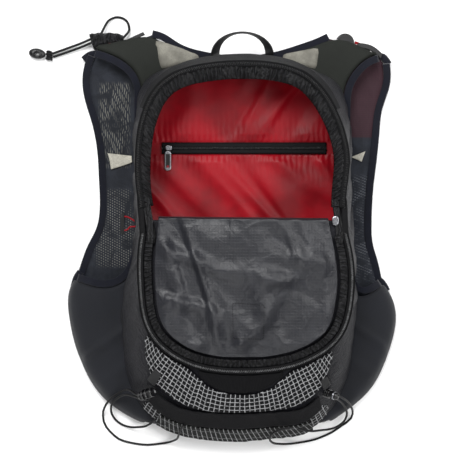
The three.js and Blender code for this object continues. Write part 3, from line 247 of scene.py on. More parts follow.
class Level:
    """A number's socket in a material, with the signs of arithmetic."""

    def __init__(self, finish, socket):
        self.finish = finish
        self.socket = socket

    def maths(self, operation, *values):
        node = self.finish.node("ShaderNodeMath", {"operation": operation}, dict(enumerate(values)))
        return Level(self.finish, node.outputs[0])

    def __add__(self, other):
        return self.maths("ADD", self, other)

    __radd__ = __add__

    def __mul__(self, other):
        return self.maths("MULTIPLY", self, other)

    __rmul__ = __mul__

    def __sub__(self, other):
        return self.maths("SUBTRACT", self, other)

    def __rsub__(self, number):
        return self.maths("SUBTRACT", number, self)

    def __truediv__(self, other):
        return self.maths("DIVIDE", self, other)

    def __rtruediv__(self, number):
        return self.maths("DIVIDE", number, self)

    def __pow__(self, other):
        return self.maths("POWER", self, other)

    def __rpow__(self, number):
        return self.maths("POWER", number, self)

    def __abs__(self):
        return self.maths("ABSOLUTE", self)

    def sine(self):
        return self.maths("SINE", self)

    def fraction(self):
        return self.maths("FRACT", self)

    def larger(self, other):
        return self.maths("MAXIMUM", self, other)

    def wave(self, spacing):
        """From 0 to 1 and back once in every spacing."""
        return (self * (2 * math.pi / spacing)).sine() * 0.5 + 0.5

    def step(self, low, high):
        """Smoothly from 0 at low to 1 at high."""
        node = self.finish.node(
            "ShaderNodeMapRange", {"interpolation_type": "SMOOTHSTEP"},
            {"Value": self, "From Min": low, "From Max": high})
        return Level(self.finish, node.outputs["Result"])

    def between(self, low, high, soft):
        return self.step(low - soft, low + soft) * (1 - self.step(high - soft, high + soft))

    def thread(self, spacing, share):
        """1 on a line that is a share of the spacing wide, 0 between the lines."""
        return 1 - abs((self / spacing).fraction() - 0.5).step(share * 0.35, share * 0.65)


class Finish:
    """A material and the nodes that make it."""

    def __init__(self, name, **constants):
        self.material = bpy.data.materials.new(name)
        self.material.use_nodes = True
        self.tree = self.material.node_tree
        self.surface = self.tree.nodes["Principled BSDF"]
        self.place = self.node("ShaderNodeTexCoord").outputs["Object"]
        self.x, self.y, self.z = self.parts(self.place)
        self.set(**constants)

    def node(self, kind, settings=None, inputs=None):
        node = self.tree.nodes.new(kind)
        for key, value in (settings or {}).items():
            setattr(node, key, value)
        for key, value in (inputs or {}).items():
            self.feed(node.inputs[key], value)
        return node

    def feed(self, socket, value):
        if isinstance(value, Level):
            value = value.socket
        if isinstance(value, bpy.types.NodeSocket):
            self.tree.links.new(value, socket)
        elif hasattr(value, "__len__") and len(value) == 3 and socket.type == "RGBA":
            socket.default_value = (*value, 1)
        else:
            socket.default_value = value

    def parts(self, vector):
        node = self.node("ShaderNodeSeparateXYZ", None, {0: vector})
        return [Level(self, node.outputs[i]) for i in range(3)]

    def joined(self, x, y, z):
        return self.node("ShaderNodeCombineXYZ", None, {0: x, 1: y, 2: z}).outputs[0]

    def fabric(self):
        """The cloth's own coordinates, in metres."""
        return self.parts(self.node("ShaderNodeUVMap", {"uv_map": "cloth"}).outputs[0])[:2]

    def noise(self, size, detail=3, rough=0.55, where=None, twist=0):
        node = self.node(
            "ShaderNodeTexNoise", None,
            {"Vector": where or self.place, "Scale": 1 / size, "Detail": detail, "Roughness": rough,
             "Distortion": twist})
        return Level(self, node.outputs[0])

    def cells(self, size):
        node = self.node("ShaderNodeTexVoronoi", None, {"Vector": self.place, "Scale": 1 / size})
        return Level(self, node.outputs["Distance"])

    def mix(self, first, second, share):
        inputs = {"Factor": share, 6: first, 7: second}
        return self.node("ShaderNodeMix", {"data_type": "RGBA"}, inputs).outputs[2]

    def tones(self, base, dark, light, share):
        """From a dark to a light tone of one colour."""
        return self.mix(shade(base, dark), shade(base, light), share)

    def bump(self, height, depth, strength=1.0, under=None):
        node = self.node("ShaderNodeBump", None, {"Height": height, "Distance": depth, "Strength": strength})
        if under is not None:
            self.feed(node.inputs["Normal"], under)
        return node.outputs[0]

    def set(self, **values):
        for key, value in values.items():
            self.feed(self.surface.inputs[key.replace("_", " ").title().replace("Ior", "IOR")], value)
        return self


def weave(u, v, spacing):
    """Height of a plain weave: threads over and under each other."""
    return abs((u * (math.pi / spacing)).sine() * (v * (math.pi / spacing)).sine())


def shade(colour, share):
    return tuple(c * share for c in colour)


# Finishes. Lengths in their values are in millimetres.

def plain_cloth(name, colour, tone=1, rough=0.75, threads=0.7, sheen=0.0, dark=0.7, light=1.35, gloss=0.12):
    """A woven cloth whose tone drifts slightly, with a fine weave."""
    f = Finish(name, sheen_weight=sheen, specular_ior_level=gloss)
    base = shade(getattr(colours(), colour), tone)
    drift = f.noise(9 * MM, 4)
    fine = f.noise(0.6 * MM, 2)
    cloth = weave(*f.fabric(), threads * MM)
    lit = f.tones(base, dark, light, (drift * 0.7 + fine * 0.3).step(0.25, 0.75))
    return f.set(base_color=f.mix(lit, shade(base, 0.5), (1 - cloth) * 0.25),
                 roughness=drift * 0.15 + (rough - 0.07), normal=f.bump(cloth + fine * 0.5, 0.12 * MM, 0.7))


def ribbed(name, rib):
    """Black stretch cloth with fine ribs along its length."""
    f = Finish(name, specular_ior_level=0.12)
    ribs = f.fabric()[0].wave(rib * MM)
    tone = (ribs * 0.5 + f.noise(7 * MM, 4) * 0.5).step(0.2, 0.8)
    return f.set(base_color=f.tones(colours().black, 0.6, 1.5, tone), roughness=0.7,
                 normal=f.bump(ribs + f.noise(0.5 * MM, 2) * 0.4, 0.25 * MM, 0.8))


def gathered(name):
    """Black nylon of the gathered gussets: half glossy, with painted highlights on its pleats' ridges and
    painted shade in their hollows.
    """
    f = Finish(name, specular_ior_level=0.3)
    u, v = f.fabric()
    drift = f.noise(5 * MM, 4)
    pleats = (u + f.noise(8 * MM, 3) * (9 * MM)).wave(4.6 * MM)
    # Painted highlight and shade: the pleats' ridges are lighter and their hollows darker; the drift adds
    # random tone.
    tone = (pleats * 0.6 + drift * 0.5).step(0.35, 0.9)
    height = pleats * 1.6 + weave(u, v, 0.7 * MM) * 0.2 + drift
    return f.set(base_color=f.tones(colours().black, 0.5, 2.6, tone), roughness=drift * 0.2 + 0.4,
                 normal=f.bump(height, 0.9 * MM, 0.9))


def ripstop(name, colour, tone, rough, gloss, crinkle):
    """Thin nylon with a grid of thicker threads, small crinkles, painted shade along its creases and a soft
    shine.
    """
    f = Finish(name, specular_ior_level=gloss, sheen_weight=0.02)
    u, v = f.fabric()
    base = shade(getattr(colours(), colour), tone)
    grid = u.thread(sizes().ripstop, 0.22).larger(v.thread(sizes().ripstop, 0.22))
    crease = abs(f.noise(16 * MM, 4, 0.6, twist=0.6) - 0.5) * 2
    drift = f.noise(38 * MM, 3)
    # The tone drifts at random and is painted darker along the creases, as shade.
    lit = f.tones(base, 0.72, 1.3, (drift * 0.6 + crease * 0.5).step(0.2, 0.9))
    creased = f.bump((1 - crease) ** 3, crinkle * MM, 0.6)
    return f.set(base_color=f.mix(lit, shade(base, 1.9), grid * 0.12),
                 roughness=drift * 0.14 + (rough - 0.07),
                 normal=f.bump(grid * 0.8 + weave(u, v, 0.5 * MM) * 0.35, 0.12 * MM, 0.8, creased))


def satin(name):
    """Red satin with fine crossing threads, their raised crossings painted lighter as a sheen."""
    f = Finish(name, specular_ior_level=0.18)
    red = colours().red
    cloth = weave(*f.fabric(), 0.55 * MM)
    drift = f.noise(45 * MM, 3)
    crease = abs(f.noise(24 * MM, 3, 0.5) - 0.5) * 2
    lit = f.tones(red, 0.55, 1.15, drift.step(0.3, 0.7))
    # Painted sheen: a lighter red on the weave's raised crossings.
    wear_and_sheen = tuple(min(1, c * 1.3 + 0.02) for c in red)
    return f.set(base_color=f.mix(lit, wear_and_sheen, cloth * 0.25), roughness=drift * 0.1 + 0.36,
                 normal=f.bump(cloth * 0.5, 0.08 * MM, 0.7, f.bump((1 - crease) ** 2, 0.3 * MM, 0.4)))


def grid_pattern(name):
    """Black cloth with a grid of light reflective threads."""
    f = Finish(name, specular_ior_level=0.12)
    u, v = f.fabric()
    wander = f.noise(9 * MM, 2) * (0.9 * MM)
    grid = (u + wander).thread(sizes().grid, 0.17).larger((v + wander).thread(sizes().grid, 0.17))
    wear_and_sheen = f.noise(2.2 * MM, 2).step(0.28, 0.62)
    ground = f.tones(colours().black, 0.7, 1.5, f.noise(6 * MM, 4).step(0.3, 0.7))
    return f.set(base_color=f.mix(ground, colours().thread, grid * (wear_and_sheen * 0.75 + 0.25)), roughness=0.62,
                 normal=f.bump(grid * 1.5 + weave(u, v, 0.7 * MM) * 0.4, 0.25 * MM, 0.9))


def stretched_grid(name):
    """Grid cloth seen under tension: leaning light threads and few crossing ones."""
    f = Finish(name, specular_ior_level=0.12)
    u, v = f.fabric()
    leaning = (u + v * 0.28).thread(sizes().grid, 0.17)
    crossing = v.thread(sizes().grid * 2.1, 0.07) * 0.6
    wear_and_sheen = f.noise(2 * MM, 2).step(0.25, 0.65)
    patches = f.noise(6 * MM, 4).step(0.3, 0.8)
    ground = f.mix(shade(colours().black, 0.8), shade(colours().olive, 0.9), patches)
    return f.set(base_color=f.mix(ground, colours().thread, leaning.larger(crossing) * (wear_and_sheen * 0.6 + 0.2)),
                 roughness=0.66, normal=f.bump(leaning + weave(u, v, 0.7 * MM) * 0.4, 0.25 * MM, 0.9))


def stretch_cloth(name):
    """Dense stretch cloth: nearly smooth, with a fine bias grain."""
    f = Finish(name, specular_ior_level=0.2, sheen_weight=0.2)
    u, v = f.fabric()
    grain = (u + v).wave(0.9 * MM)
    drift = f.noise(30 * MM, 4)
    tone = (drift * 0.75 + grain * 0.25).step(0.25, 0.8)
    return f.set(base_color=f.tones(colours().wing, 0.8, 1.3, tone), roughness=drift * 0.1 + 0.66,
                 normal=f.bump(grain + f.noise(0.7 * MM, 2) * 0.5, 0.1 * MM, 0.6))


def pale_mesh(name, hole, patch, dark, light, hole_tone, hole_share, rough):
    """Pale mesh with the darker layer under it showing through its holes."""
    f = Finish(name, specular_ior_level=0.2)
    holes = 1 - f.cells(hole * MM).step(0.25, 0.6)
    pale = f.tones(colours().pale, dark, light, f.noise(patch * MM, 3).step(0.3, 0.7))
    under = shade(colours().pale, hole_tone)
    return f.set(base_color=f.mix(pale, under, holes * hole_share), roughness=rough,
                 normal=f.bump(1 - holes, 0.15 * MM, 0.6))


def knit(x, y):
    """Rows of small holes, in millimetres."""
    return (x.wave(1.7) * y.wave(2.3)).step(0.35, 0.7)


def left_panel(name):
    """Slate cloth with a zone of light streaks above a plain band, and light honeycomb dots below it; the
    tone is painted darker in the folds' hollows and lighter on their crests, where the streaks and dots also
    show more.
    """
    f = Finish(name, specular_ior_level=0.2)
    x, y = f.x / MM, f.y / MM
    folds = f.noise(22 * MM, 4, 0.6, twist=1.2)
    streak = (x + f.noise(30 * MM, 2) * 14).wave(2.3).step(0.55, 0.95)
    broken = (y + x * 1.7).wave(12).step(0.04, 0.3)
    upper = y.between(78, 174, 3) * x.between(-152, -118, 3)
    dots = (x.wave(2.6) * (y + x * 0.5).wave(3.0)).step(0.42, 0.75)
    lower = y.between(-36, 52, 3) * (x + y * 0.1).between(-158, -112, 4)
    # Painted light and shade: the streaks and dots show mostly on the folds' crests, and the ground is darker
    # in the folds' hollows.
    light = (streak * broken * upper + dots * lower) * folds.step(0.36, 0.6)
    ground = f.tones(colours().slate, 0.62, 1.15, folds.step(0.3, 0.7))
    return f.set(base_color=f.mix(ground, STREAK_COLOUR, light * 0.7), roughness=0.7,
                 normal=f.bump(light + knit(x, y) * 0.4 + folds * 2, 0.3 * MM, 0.8))


def right_panel(name):
    """Red-brown mesh at the shoulder, a plain slate band, then slate with faint light mesh; the tones are
    painted darker in the folds' hollows and lighter on their crests.
    """
    f = Finish(name, specular_ior_level=0.2)
    x, y = f.x / MM, f.y / MM
    folds = f.noise(24 * MM, 4, 0.6, twist=1.0)
    # Painted light and shade: the slate and the maroon mesh are darker in the folds' hollows and lighter on
    # their crests.
    ground = f.tones(colours().slate, 0.75, 1.25, folds.step(0.3, 0.7))
    mesh = f.tones(colours().maroon, 0.7, 1.25, knit(x, y) * 0.5 + folds * 0.5)
    base = f.mix(ground, mesh, y.step(111, 113))
    dots = (x.wave(2.3) * (y + x * 0.4).wave(3.2)).step(0.45, 0.8) * (1 - y.step(62, 72)) * y.step(-62, -40)
    # Painted highlight: the light dots show only on the folds' crests.
    return f.set(base_color=f.mix(base, DOT_COLOUR, dots * folds.step(0.45, 0.6) * 0.6), roughness=0.72,
                 normal=f.bump(dots + knit(x, y) * 0.5 + folds * 2, 0.3 * MM, 0.8))


def back_panel(name):
    """Slate spacer mesh with large dark holes."""
    f = Finish(name, specular_ior_level=0.2)
    holes = knit(f.x / MM * 0.45, f.y / MM * 0.45)
    slate = f.tones(colours().slate, 0.6, 0.95, f.noise(20 * MM, 3).step(0.3, 0.7))
    return f.set(base_color=f.mix(slate, shade(colours().black, 0.5), holes * 0.8), roughness=0.8,
                 normal=f.bump(1 - holes, 0.6 * MM, 0.9))


def pebbled(name):
    """Black moulded plastic: slightly pebbled, with rubbed lighter spots."""
    f = Finish(name, specular_ior_level=0.5)
    wear = f.noise(6 * MM, 3).step(0.55, 0.8)
    return f.set(base_color=f.tones(colours().black, 0.8, 2.4, wear * 0.5), roughness=0.3 + wear * 0.2,
                 normal=f.bump(f.noise(0.8 * MM, 3), 0.08 * MM, 0.5))


def glossy(name):
    """Smooth black plastic with a gloss."""
    f = Finish(name, specular_ior_level=0.6)
    wear = f.noise(4 * MM, 3)
    return f.set(base_color=f.tones(colours().black, 0.8, 3, wear.step(0.4, 0.8)),
                 roughness=wear * 0.15 + 0.14)


def plated(name):
    """Plated metal with fine scratches."""
    f = Finish(name, metallic=1.0)
    scratch = f.noise(0.7 * MM, 4, where=f.joined(f.x * 6, f.y, f.z))
    return f.set(base_color=f.tones(colours().metal, 0.5, 1, scratch.step(0.3, 0.7)),
                 roughness=scratch * 0.2 + 0.18, normal=f.bump(scratch, 0.03 * MM, 0.5))


def rimmed_pull(name):
    """A pull with a metal rim, a dark middle and a red spot at its end."""
    f = Finish(name, specular_ior_level=0.5)
    middle, half = middle_and_half("pocket_pull")
    across = abs(f.x - middle.x) / half.x
    along = (f.y - middle.y) / half.y
    rim = across.larger(abs(along) * 1.04 - 0.12).step(0.55, 0.68)
    spot = 1 - (across ** 2 + ((along + 0.62) * 2.4) ** 2).step(0.1, 0.22)
    inner = f.mix(shade(colours().black, 0.8), colours().red, spot)
    plate = f.tones(colours().metal, 0.5, 1, f.noise(0.8 * MM, 3).step(0.3, 0.7))
    return f.set(base_color=f.mix(inner, plate, rim), metallic=rim, roughness=0.3)


def braid(name, colour, light):
    """A round cord's braided sheath, as crossing strands."""
    f = Finish(name, specular_ior_level=0.25)
    strands = f.cells(0.9 * MM)
    tone = (strands * 0.6 + f.noise(3 * MM, 3) * 0.5).step(0.2, 0.8)
    return f.set(base_color=f.tones(getattr(colours(), colour), 0.6, light, tone), roughness=0.55,
                 normal=f.bump(1 - strands, 0.25 * MM, 0.8))


def nylon_coil(name, colour, dark, light, patch, low, high, rough):
    """The zip coil's nylon, lighter where it is worn or catches the light."""
    f = Finish(name, specular_ior_level=0.6)
    tone = f.noise(patch * MM, 2).step(low, high)
    return f.set(base_color=f.tones(getattr(colours(), colour), dark, light, tone), roughness=rough)


STREAK_COLOUR = (0.24, 0.235, 0.2)
DOT_COLOUR = (0.25, 0.26, 0.28)
FINISHES = {
    "binding": (plain_cloth, dict(colour="navy", rough=0.8, threads=0.9, sheen=0.25, dark=0.75, light=1.3)),
    "yoke_cloth": (plain_cloth, dict(colour="olive", rough=0.72, threads=0.6, dark=0.88, light=1.12)),
    "band_cloth": (plain_cloth, dict(colour="black", rough=0.72, threads=0.8, dark=1.1, light=1.9)),
    "webbing": (plain_cloth, dict(colour="black", rough=0.6, threads=1.3, dark=0.8, light=1.7, gloss=0.5)),
    "zip_tape": (plain_cloth, dict(colour="black", tone=0.8, rough=0.6, dark=0.8, light=1.4)),
    "red_tape": (plain_cloth, dict(colour="red", rough=0.55, threads=0.8)),
    "dark_thread": (plain_cloth, dict(colour="black", tone=0.7, rough=0.6, threads=0.4)),
    "stretch_panel": (ribbed, dict(rib=1.6)),
    "gathered_cloth": (gathered, {}),
    "wall_cloth": (ripstop, dict(colour="charcoal", tone=1, rough=0.44, gloss=0.1, crinkle=0.9)),
    "flap_cloth": (ripstop, dict(colour="ash", tone=0.8, rough=0.34, gloss=0.42, crinkle=0.5)),
    "lining_cloth": (satin, {}),
    "grid_cloth": (grid_pattern, {}),
    "hem_cloth": (stretched_grid, {}),
    "wing_cloth": (stretch_cloth, {}),
    "pale_cloth": (pale_mesh, dict(
        hole=1.6, patch=12, dark=0.8, light=1.1, hole_tone=0.45, hole_share=0.35, rough=0.7)),
    "window_cloth": (pale_mesh, dict(
        hole=1.5, patch=14, dark=0.3, light=0.5, hole_tone=0.3, hole_share=0.4, rough=0.72)),
    "left_panel_cloth": (left_panel, {}),
    "right_panel_cloth": (right_panel, {}),
    "back_panel_cloth": (back_panel, {}),
    "moulded": (pebbled, {}),
    "shiny": (glossy, {}),
    "metal": (plated, {}),
    "pull_finish": (rimmed_pull, {}),
    "black_cord": (braid, dict(colour="black", light=1.3)),
    "red_braid": (braid, dict(colour="red", light=1.4)),
    "coil": (nylon_coil, dict(colour="black", dark=0.9, light=3.2, patch=4, low=0.4, high=0.8, rough=0.3)),
    "light_coil": (nylon_coil, dict(
        colour="thread", dark=0.1, light=0.45, patch=3, low=0.3, high=0.7, rough=0.35)),
}
MADE = {}


def finish(name):
    """A finish's material, made once."""
    if name not in MADE:
        maker, values = FINISHES[name]
        MADE[name] = maker(name, **values).material
    return MADE[name]


# Mesh helpers

def middle_and_half(node):
    low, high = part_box(node)
    return (low + high) / 2, (high - low) / 2


def unit_noise(place, size, seed=0.0):
    return noise.noise(Vector((place[0] / size + seed, place[1] / size - seed, place[2] / size + seed * 0.5)))


def fold_noise(place, size, seed=0.0, sharp=1.5):
    """Ridges with rounded crests, from 0 to 1."""
    warp = unit_noise(place, size * 1.7, seed + 3.1) * size * 0.6
    moved = (place[0] + warp, place[1] - warp, place[2])
    ridge = max(0.0, 1 - abs(unit_noise(moved, size, seed)) * 2.0)
    return (ridge * ridge * (3 - 2 * ridge)) ** (sharp * 0.7)


def planar(co):
    return co.x, co.y


def upward(_):
    return Vector((0, 0, 1))


def outward(co):
    """Level and away from the middle of the pack."""
    way = Vector((co.x - PACK_CENTRE[0], co.y - PACK_CENTRE[1], 0))
    return way.normalized() if way.length > 1e-6 else Vector((0, 0, 1))


def row_place(point):
    """A point in the row frame, in metres, from millimetres about the middle of the pack."""
    return Vector((point[0] * MM + PACK_CENTRE[0], point[1] * MM + PACK_CENTRE[1], point[2] * MM))


def lay_cloth(bm, places=None):
    """Smooths a mesh's faces and gives it the cloth's coordinates, seen from above if no others are given."""
    cloth = bm.loops.layers.uv.new("cloth")
    for face in bm.faces:
        face.smooth = True
        for loop in face.loops:
            loop[cloth].uv = places[loop.vert.index] if places else planar(loop.vert.co)


def placed(name, data, look):
    """An object of the scene that rides on the vest, in its finish."""
    obj = bpy.data.objects.new(name, data)
    bpy.context.scene.collection.objects.link(obj)
    data.materials.clear()
    data.materials.append(finish(look))
    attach(obj, "root")
    return obj


def meshed(bm, name, look):
    mesh = bpy.data.meshes.new(name)
    bm.to_mesh(mesh)
    bm.free()
    return placed(name, mesh, look)


def smooth_copy(node, levels, edge, crease_angle=CREASE_ANGLE):
    """A rounded copy of a CAD node's mesh with no edge much over a length, its rims kept where they are."""
    bm = bmesh.new()
    bm.from_mesh(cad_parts[node].data)
    bmesh.ops.remove_doubles(bm, verts=bm.verts, dist=0.02 * MM)
    bmesh.ops.join_triangles(bm, faces=bm.faces, **JOIN_ANGLES)
    crease = bm.edges.layers.float.get("crease_edge") or bm.edges.layers.float.new("crease_edge")
    for e in bm.edges:
        if len(e.link_faces) == 2 and e.calc_face_angle(0) > math.radians(crease_angle):
            e[crease] = 1.0
    mesh = bpy.data.meshes.new(node)
    bm.to_mesh(mesh)
    bm.free()
    holder = bpy.data.objects.new("holder", mesh)
    bpy.context.scene.collection.objects.link(holder)
    rounding = holder.modifiers.new("rounding", "SUBSURF")
    rounding.levels = rounding.render_levels = levels
    graph = bpy.context.evaluated_depsgraph_get()
    fine = bpy.data.meshes.new_from_object(holder.evaluated_get(graph))
    bpy.data.objects.remove(holder)
    bpy.data.meshes.remove(mesh)
    bm = bmesh.new()
    bm.from_mesh(fine)
    bpy.data.meshes.remove(fine)
    for _ in range(CUT_ROUNDS):
        long_edges = [e for e in bm.edges if e.calc_length() > edge]
        if not long_edges:
            break
        bmesh.ops.subdivide_edges(bm, edges=long_edges, cuts=1, use_grid_fill=True)
    return bm


def polar(bm, over):
    """The points, their turns about the pack's middle, from its bottom or its top, and their distances."""
    co = np.array([v.co for v in bm.verts])
    dx, dy = co[:, 0] - PACK_CENTRE[0], co[:, 1] - PACK_CENTRE[1]
    over = co[:, 1].mean() >= PACK_CENTRE[1] + 2 * MM if over is None else over
    return co, np.arctan2(-dx, dy) if over else np.arctan2(dx, -dy), np.hypot(dx, dy)


def around(bm):
    """Coordinates along a band that goes round the pack: the way along it, and the way up its slope."""
    co, turn, reach = polar(bm, None)
    bins = np.linspace(-math.pi, math.pi, TURN_BINS + 1)
    place = np.clip(np.digitize(turn, bins) - 1, 0, TURN_BINS - 1)
    middle, height = np.full(TURN_BINS, np.nan), np.full(TURN_BINS, np.nan)
    for k in range(TURN_BINS):
        inside = place == k
        if inside.any():
            middle[k], height[k] = reach[inside].mean(), co[inside, 2].mean()
    centres = (bins[:-1] + bins[1:]) / 2
    known = ~np.isnan(middle)
    middle = np.interp(centres, centres[known], middle[known])
    height = np.interp(centres, centres[known], height[known])
    across, up = reach - np.interp(turn, centres, middle), co[:, 2] - np.interp(turn, centres, height)
    slope = np.linalg.eigh(np.cov(np.array([across, up])))[1][:, 1]
    slope = slope * (1 if slope[1] > 0 else -1)
    steps = np.hypot(np.diff(middle * np.sin(centres)), np.diff(-middle * np.cos(centres)))
    along = np.concatenate([[0], np.cumsum(steps)])
    along -= np.interp(0, centres, along)
    return list(zip(np.interp(turn, centres, along), across * slope[0] + up * slope[1]))


def ring_line(node, share, lift=0.0):
    """A line along the top of a band that goes round the pack, at a share of its width."""
    over = node.startswith("body")
    bm = smooth_copy(node, 2, 3 * MM)
    co, turn, reach = polar(bm, over)
    bm.free()
    edges = np.linspace(-math.pi, math.pi, LINE_BINS + 1)
    place = np.digitize(turn, edges) - 1
    flip = -1 if over else 1
    points = []
    for k in range(LINE_BINS):
        inside = place == k
        if inside.sum() < 4:
            continue
        r = reach[inside]
        middle = r.min() + (r.max() - r.min()) * share
        angle = (edges[k] + edges[k + 1]) / 2
        points.append(Vector((PACK_CENTRE[0] + flip * middle * math.sin(angle),
                              PACK_CENTRE[1] - flip * middle * math.cos(angle), co[inside, 2].max() + lift)))
    for _ in range(3):
        inner = [(a + b * 2 + c) / 4 for a, b, c in zip(points, points[1:], points[2:])]
        points = [points[0], *inner, points[-1]]
    return points


def widen(bm, spread):
    """Moves a sheet's rim outwards, so that it tucks under the binding beside it, and returns its places."""
    bm.normal_update()
    moves = {}
    for v in bm.verts:
        way = Vector((0, 0, 0))
        for face in v.link_faces:
            if abs(face.normal.z) < 0.5:
                way += Vector((face.normal.x, face.normal.y, 0))
        if way.length > 1e-6:
            moves[v] = way.normalized() * spread
    for v, move in moves.items():
        v.co += move * (SHOULDER_SHARE if spread > WIDE_SPREAD and v.co.y > SHOULDER_LINE else 1)
        v.co.z = max(v.co.z - RIM_TUCK, min(v.co.z, 0.3 * MM))
    rim = KDTree(len(moves))
    for k, v in enumerate(moves):
        rim.insert(v.co, k)
    rim.balance()
    return rim


def stretch_outwards(bm, reach):
    """Draws the outer half of a strip that goes round the pack further out and a little down."""
    table = around(bm)
    across = [table[v.index][1] for v in bm.verts]
    low, high = min(across), max(across)
    for v, place in zip(list(bm.verts), across):
        share = (place - low) / (high - low)
        v.co += outward(v.co) * (reach * share) - Vector((0, 0, 0.3 * reach * share))


def dress(name, node, look, edge, lift=None, direction=upward, ring=False, levels=2,
          crease_angle=CREASE_ANGLE, spread=0, outer=0):
    """A piece over a CAD node: a finer copy with its folds and finish. edge is in millimetres."""
    bm = smooth_copy(node, levels, edge * MM, crease_angle)
    rim = widen(bm, spread) if spread else None
    if outer:
        stretch_outwards(bm, outer)
    bm.verts.index_update()
    bm.verts.ensure_lookup_table()
    table = around(bm) if ring else [planar(v.co) for v in bm.verts]
    if lift:
        bm.normal_update()
        moved = []
        for v in bm.verts:
            calm = min(1.0, rim.find(v.co)[2] / RIM_CALM) if rim else 1.0
            moved.append(v.co + direction(v.co) * (calm * lift(v.co, table[v.index])))
        for v, co in zip(bm.verts, moved):
            v.co = co
    lay_cloth(bm, table)
    obj = meshed(bm, name, look)
    obj.data.set_sharp_from_angle(angle=math.radians(SHARP_ANGLE))
    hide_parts(node)
    return obj


def tube(name, points, thickness, look, sides):
    """A round thread along points."""
    data = bpy.data.curves.new(name, "CURVE")
    data.dimensions = "3D"
    data.bevel_depth = thickness / 2
    data.bevel_resolution = sides
    data.use_fill_caps = True
    spline = data.splines.new("POLY")
    spline.points.add(len(points) - 1)
    for p, co in zip(spline.points, points):
        p.co = (*co, 1)
    return placed(name, data, look)


def flowing(points, count):
    """count points on a smooth line through the given ones, evenly spaced."""
    pts = [Vector(p) for p in points]
    pts = [2 * pts[0] - pts[1]] + pts + [2 * pts[-1] - pts[-2]]
    dense = []
    for k in range(1, len(pts) - 2):
        a, b, c, d = pts[k - 1:k + 3]
        for s in range(FLOW_STEPS):
            t = s / FLOW_STEPS
            dense.append(0.5 * ((2 * b) + (c - a) * t + (2 * a - 5 * b + 4 * c - d) * t * t
                                + (3 * b - a - 3 * c + d) * t ** 3))
    dense.append(pts[-2])
    steps = np.cumsum([0] + [(q - p).length for p, q in zip(dense, dense[1:])])
    result = []
    for s in np.linspace(0, steps[-1], count):
        k = min(int(np.searchsorted(steps, s, side="right")) - 1, len(dense) - 2)
        share = (s - steps[k]) / max(steps[k + 1] - steps[k], 1e-9)
        result.append(dense[k].lerp(dense[k + 1], float(share)))
    return result


def length_of(points):
    return sum((Vector(q) - Vector(p)).length for p, q in zip(points, points[1:]))


def with_sides(line):
    """Each point of a line with the level direction across it."""
    for k, p in enumerate(line):
        ahead = line[min(k + 1, len(line) - 1)] - line[max(k - 1, 0)]
        yield p, Vector((-ahead.y, ahead.x, 0)).normalized()


def coil(name, line, radius, wire, look):
    """A zip's coil: a flattened helix along a line."""
    count = int(length_of(line) / sizes().coil_pitch * COIL_POINTS)
    points = []
    for k, (p, side) in enumerate(with_sides(flowing(line, max(count, 8)))):
        angle = 2 * math.pi * k / COIL_POINTS
        points.append(p + side * (radius * math.cos(angle))
                      + Vector((0, 0, radius * COIL_FLATNESS * math.sin(angle))))
    return tube(name, points, wire, look, sides=0)


def stitches(name, line, thickness=0.5 * MM):
    """A row of short dark stitches along a line, as one mesh."""
    spots = flowing(line, max(2, int(length_of(line) / sizes().stitch)) + 1)
    bm = bmesh.new()
    for a, b in zip(spots, spots[1:]):
        way = b - a
        if way.length < 1e-6:
            continue
        start = a + way * (1 - STITCH_SHARE) / 2
        bmesh.ops.create_uvsphere(
            bm, u_segments=6, v_segments=4, radius=0.5,
            matrix=Matrix.Translation(start + way * STITCH_SHARE / 2 - Vector((0, 0, 0.1 * MM)))
            @ way.to_track_quat("Z", "Y").to_matrix().to_4x4()
            @ Matrix.Diagonal((thickness, thickness, way.length * STITCH_SHARE, 1)))
    lay_cloth(bm)
    return meshed(bm, name, "dark_thread")


def loft(bm, rows):
    """Joins closed rows of points into a skin."""
    count = len(rows[0])
    for first, second in zip(rows, rows[1:]):
        for k in range(count):
            bm.faces.new((first[k], first[(k + 1) % count], second[(k + 1) % count], second[k]))


def ribbon(name, line, width, thick, look):
    """A flat tape with a crowned top along a line, its top at the line's height."""
    bm = bmesh.new()
    rows = [[bm.verts.new(p + side * (width * share) - Vector((0, 0, thick * drop)))
             for share, drop in RIBBON_SECTION] for p, side in with_sides(line)]
    loft(bm, rows)
    bm.faces.new(rows[0])
    bm.faces.new(rows[-1][::-1])
    bmesh.ops.recalc_face_normals(bm, faces=bm.faces)
    lay_cloth(bm)
    return meshed(bm, name, look)


def hinge_tapes(label, upper, lower, width, look):
    """Carries a zip or gusset past the flap's fold, from the opening's strip to the flap's, on both sides."""
    for side, (a, before, b, after) in {
            "left": (upper[-1], upper[-4], lower[0], lower[3]),
            "right": (upper[0], upper[3], lower[-1], lower[-4])}.items():
        line = [p - Vector((0, 0, 0.3 * MM)) for p in flowing([before, a, b, after], HINGE_POINTS)]
        ribbon(f"{label}_hinge_{side}", line, width, 2 * MM, look)


def turned(name, place, axis, profile, look, sides=28):
    """A part turned about an axis, from its distances along the axis and its radii in millimetres."""
    bm = bmesh.new()
    facing = axis.to_track_quat("Z", "Y").to_matrix()
    angles = [2 * math.pi * k / sides for k in range(sides)]
    rows = [[bm.verts.new(place + facing @ Vector((
        radius * MM * math.cos(angle), radius * MM * math.sin(angle), along * MM))) for angle in angles]
        for along, radius in profile]
    loft(bm, rows)
    bm.faces.new(rows[0][::-1])
    bm.faces.new(rows[-1])
    bmesh.ops.recalc_face_normals(bm, faces=bm.faces)
    for face in bm.faces:
        face.smooth = len(face.verts) == 4
    return meshed(bm, name, look)


# Pieces

class VestOperator(bpy.types.Operator):
    """One step of the vest."""
    bl_options = {"REGISTER", "UNDO"}


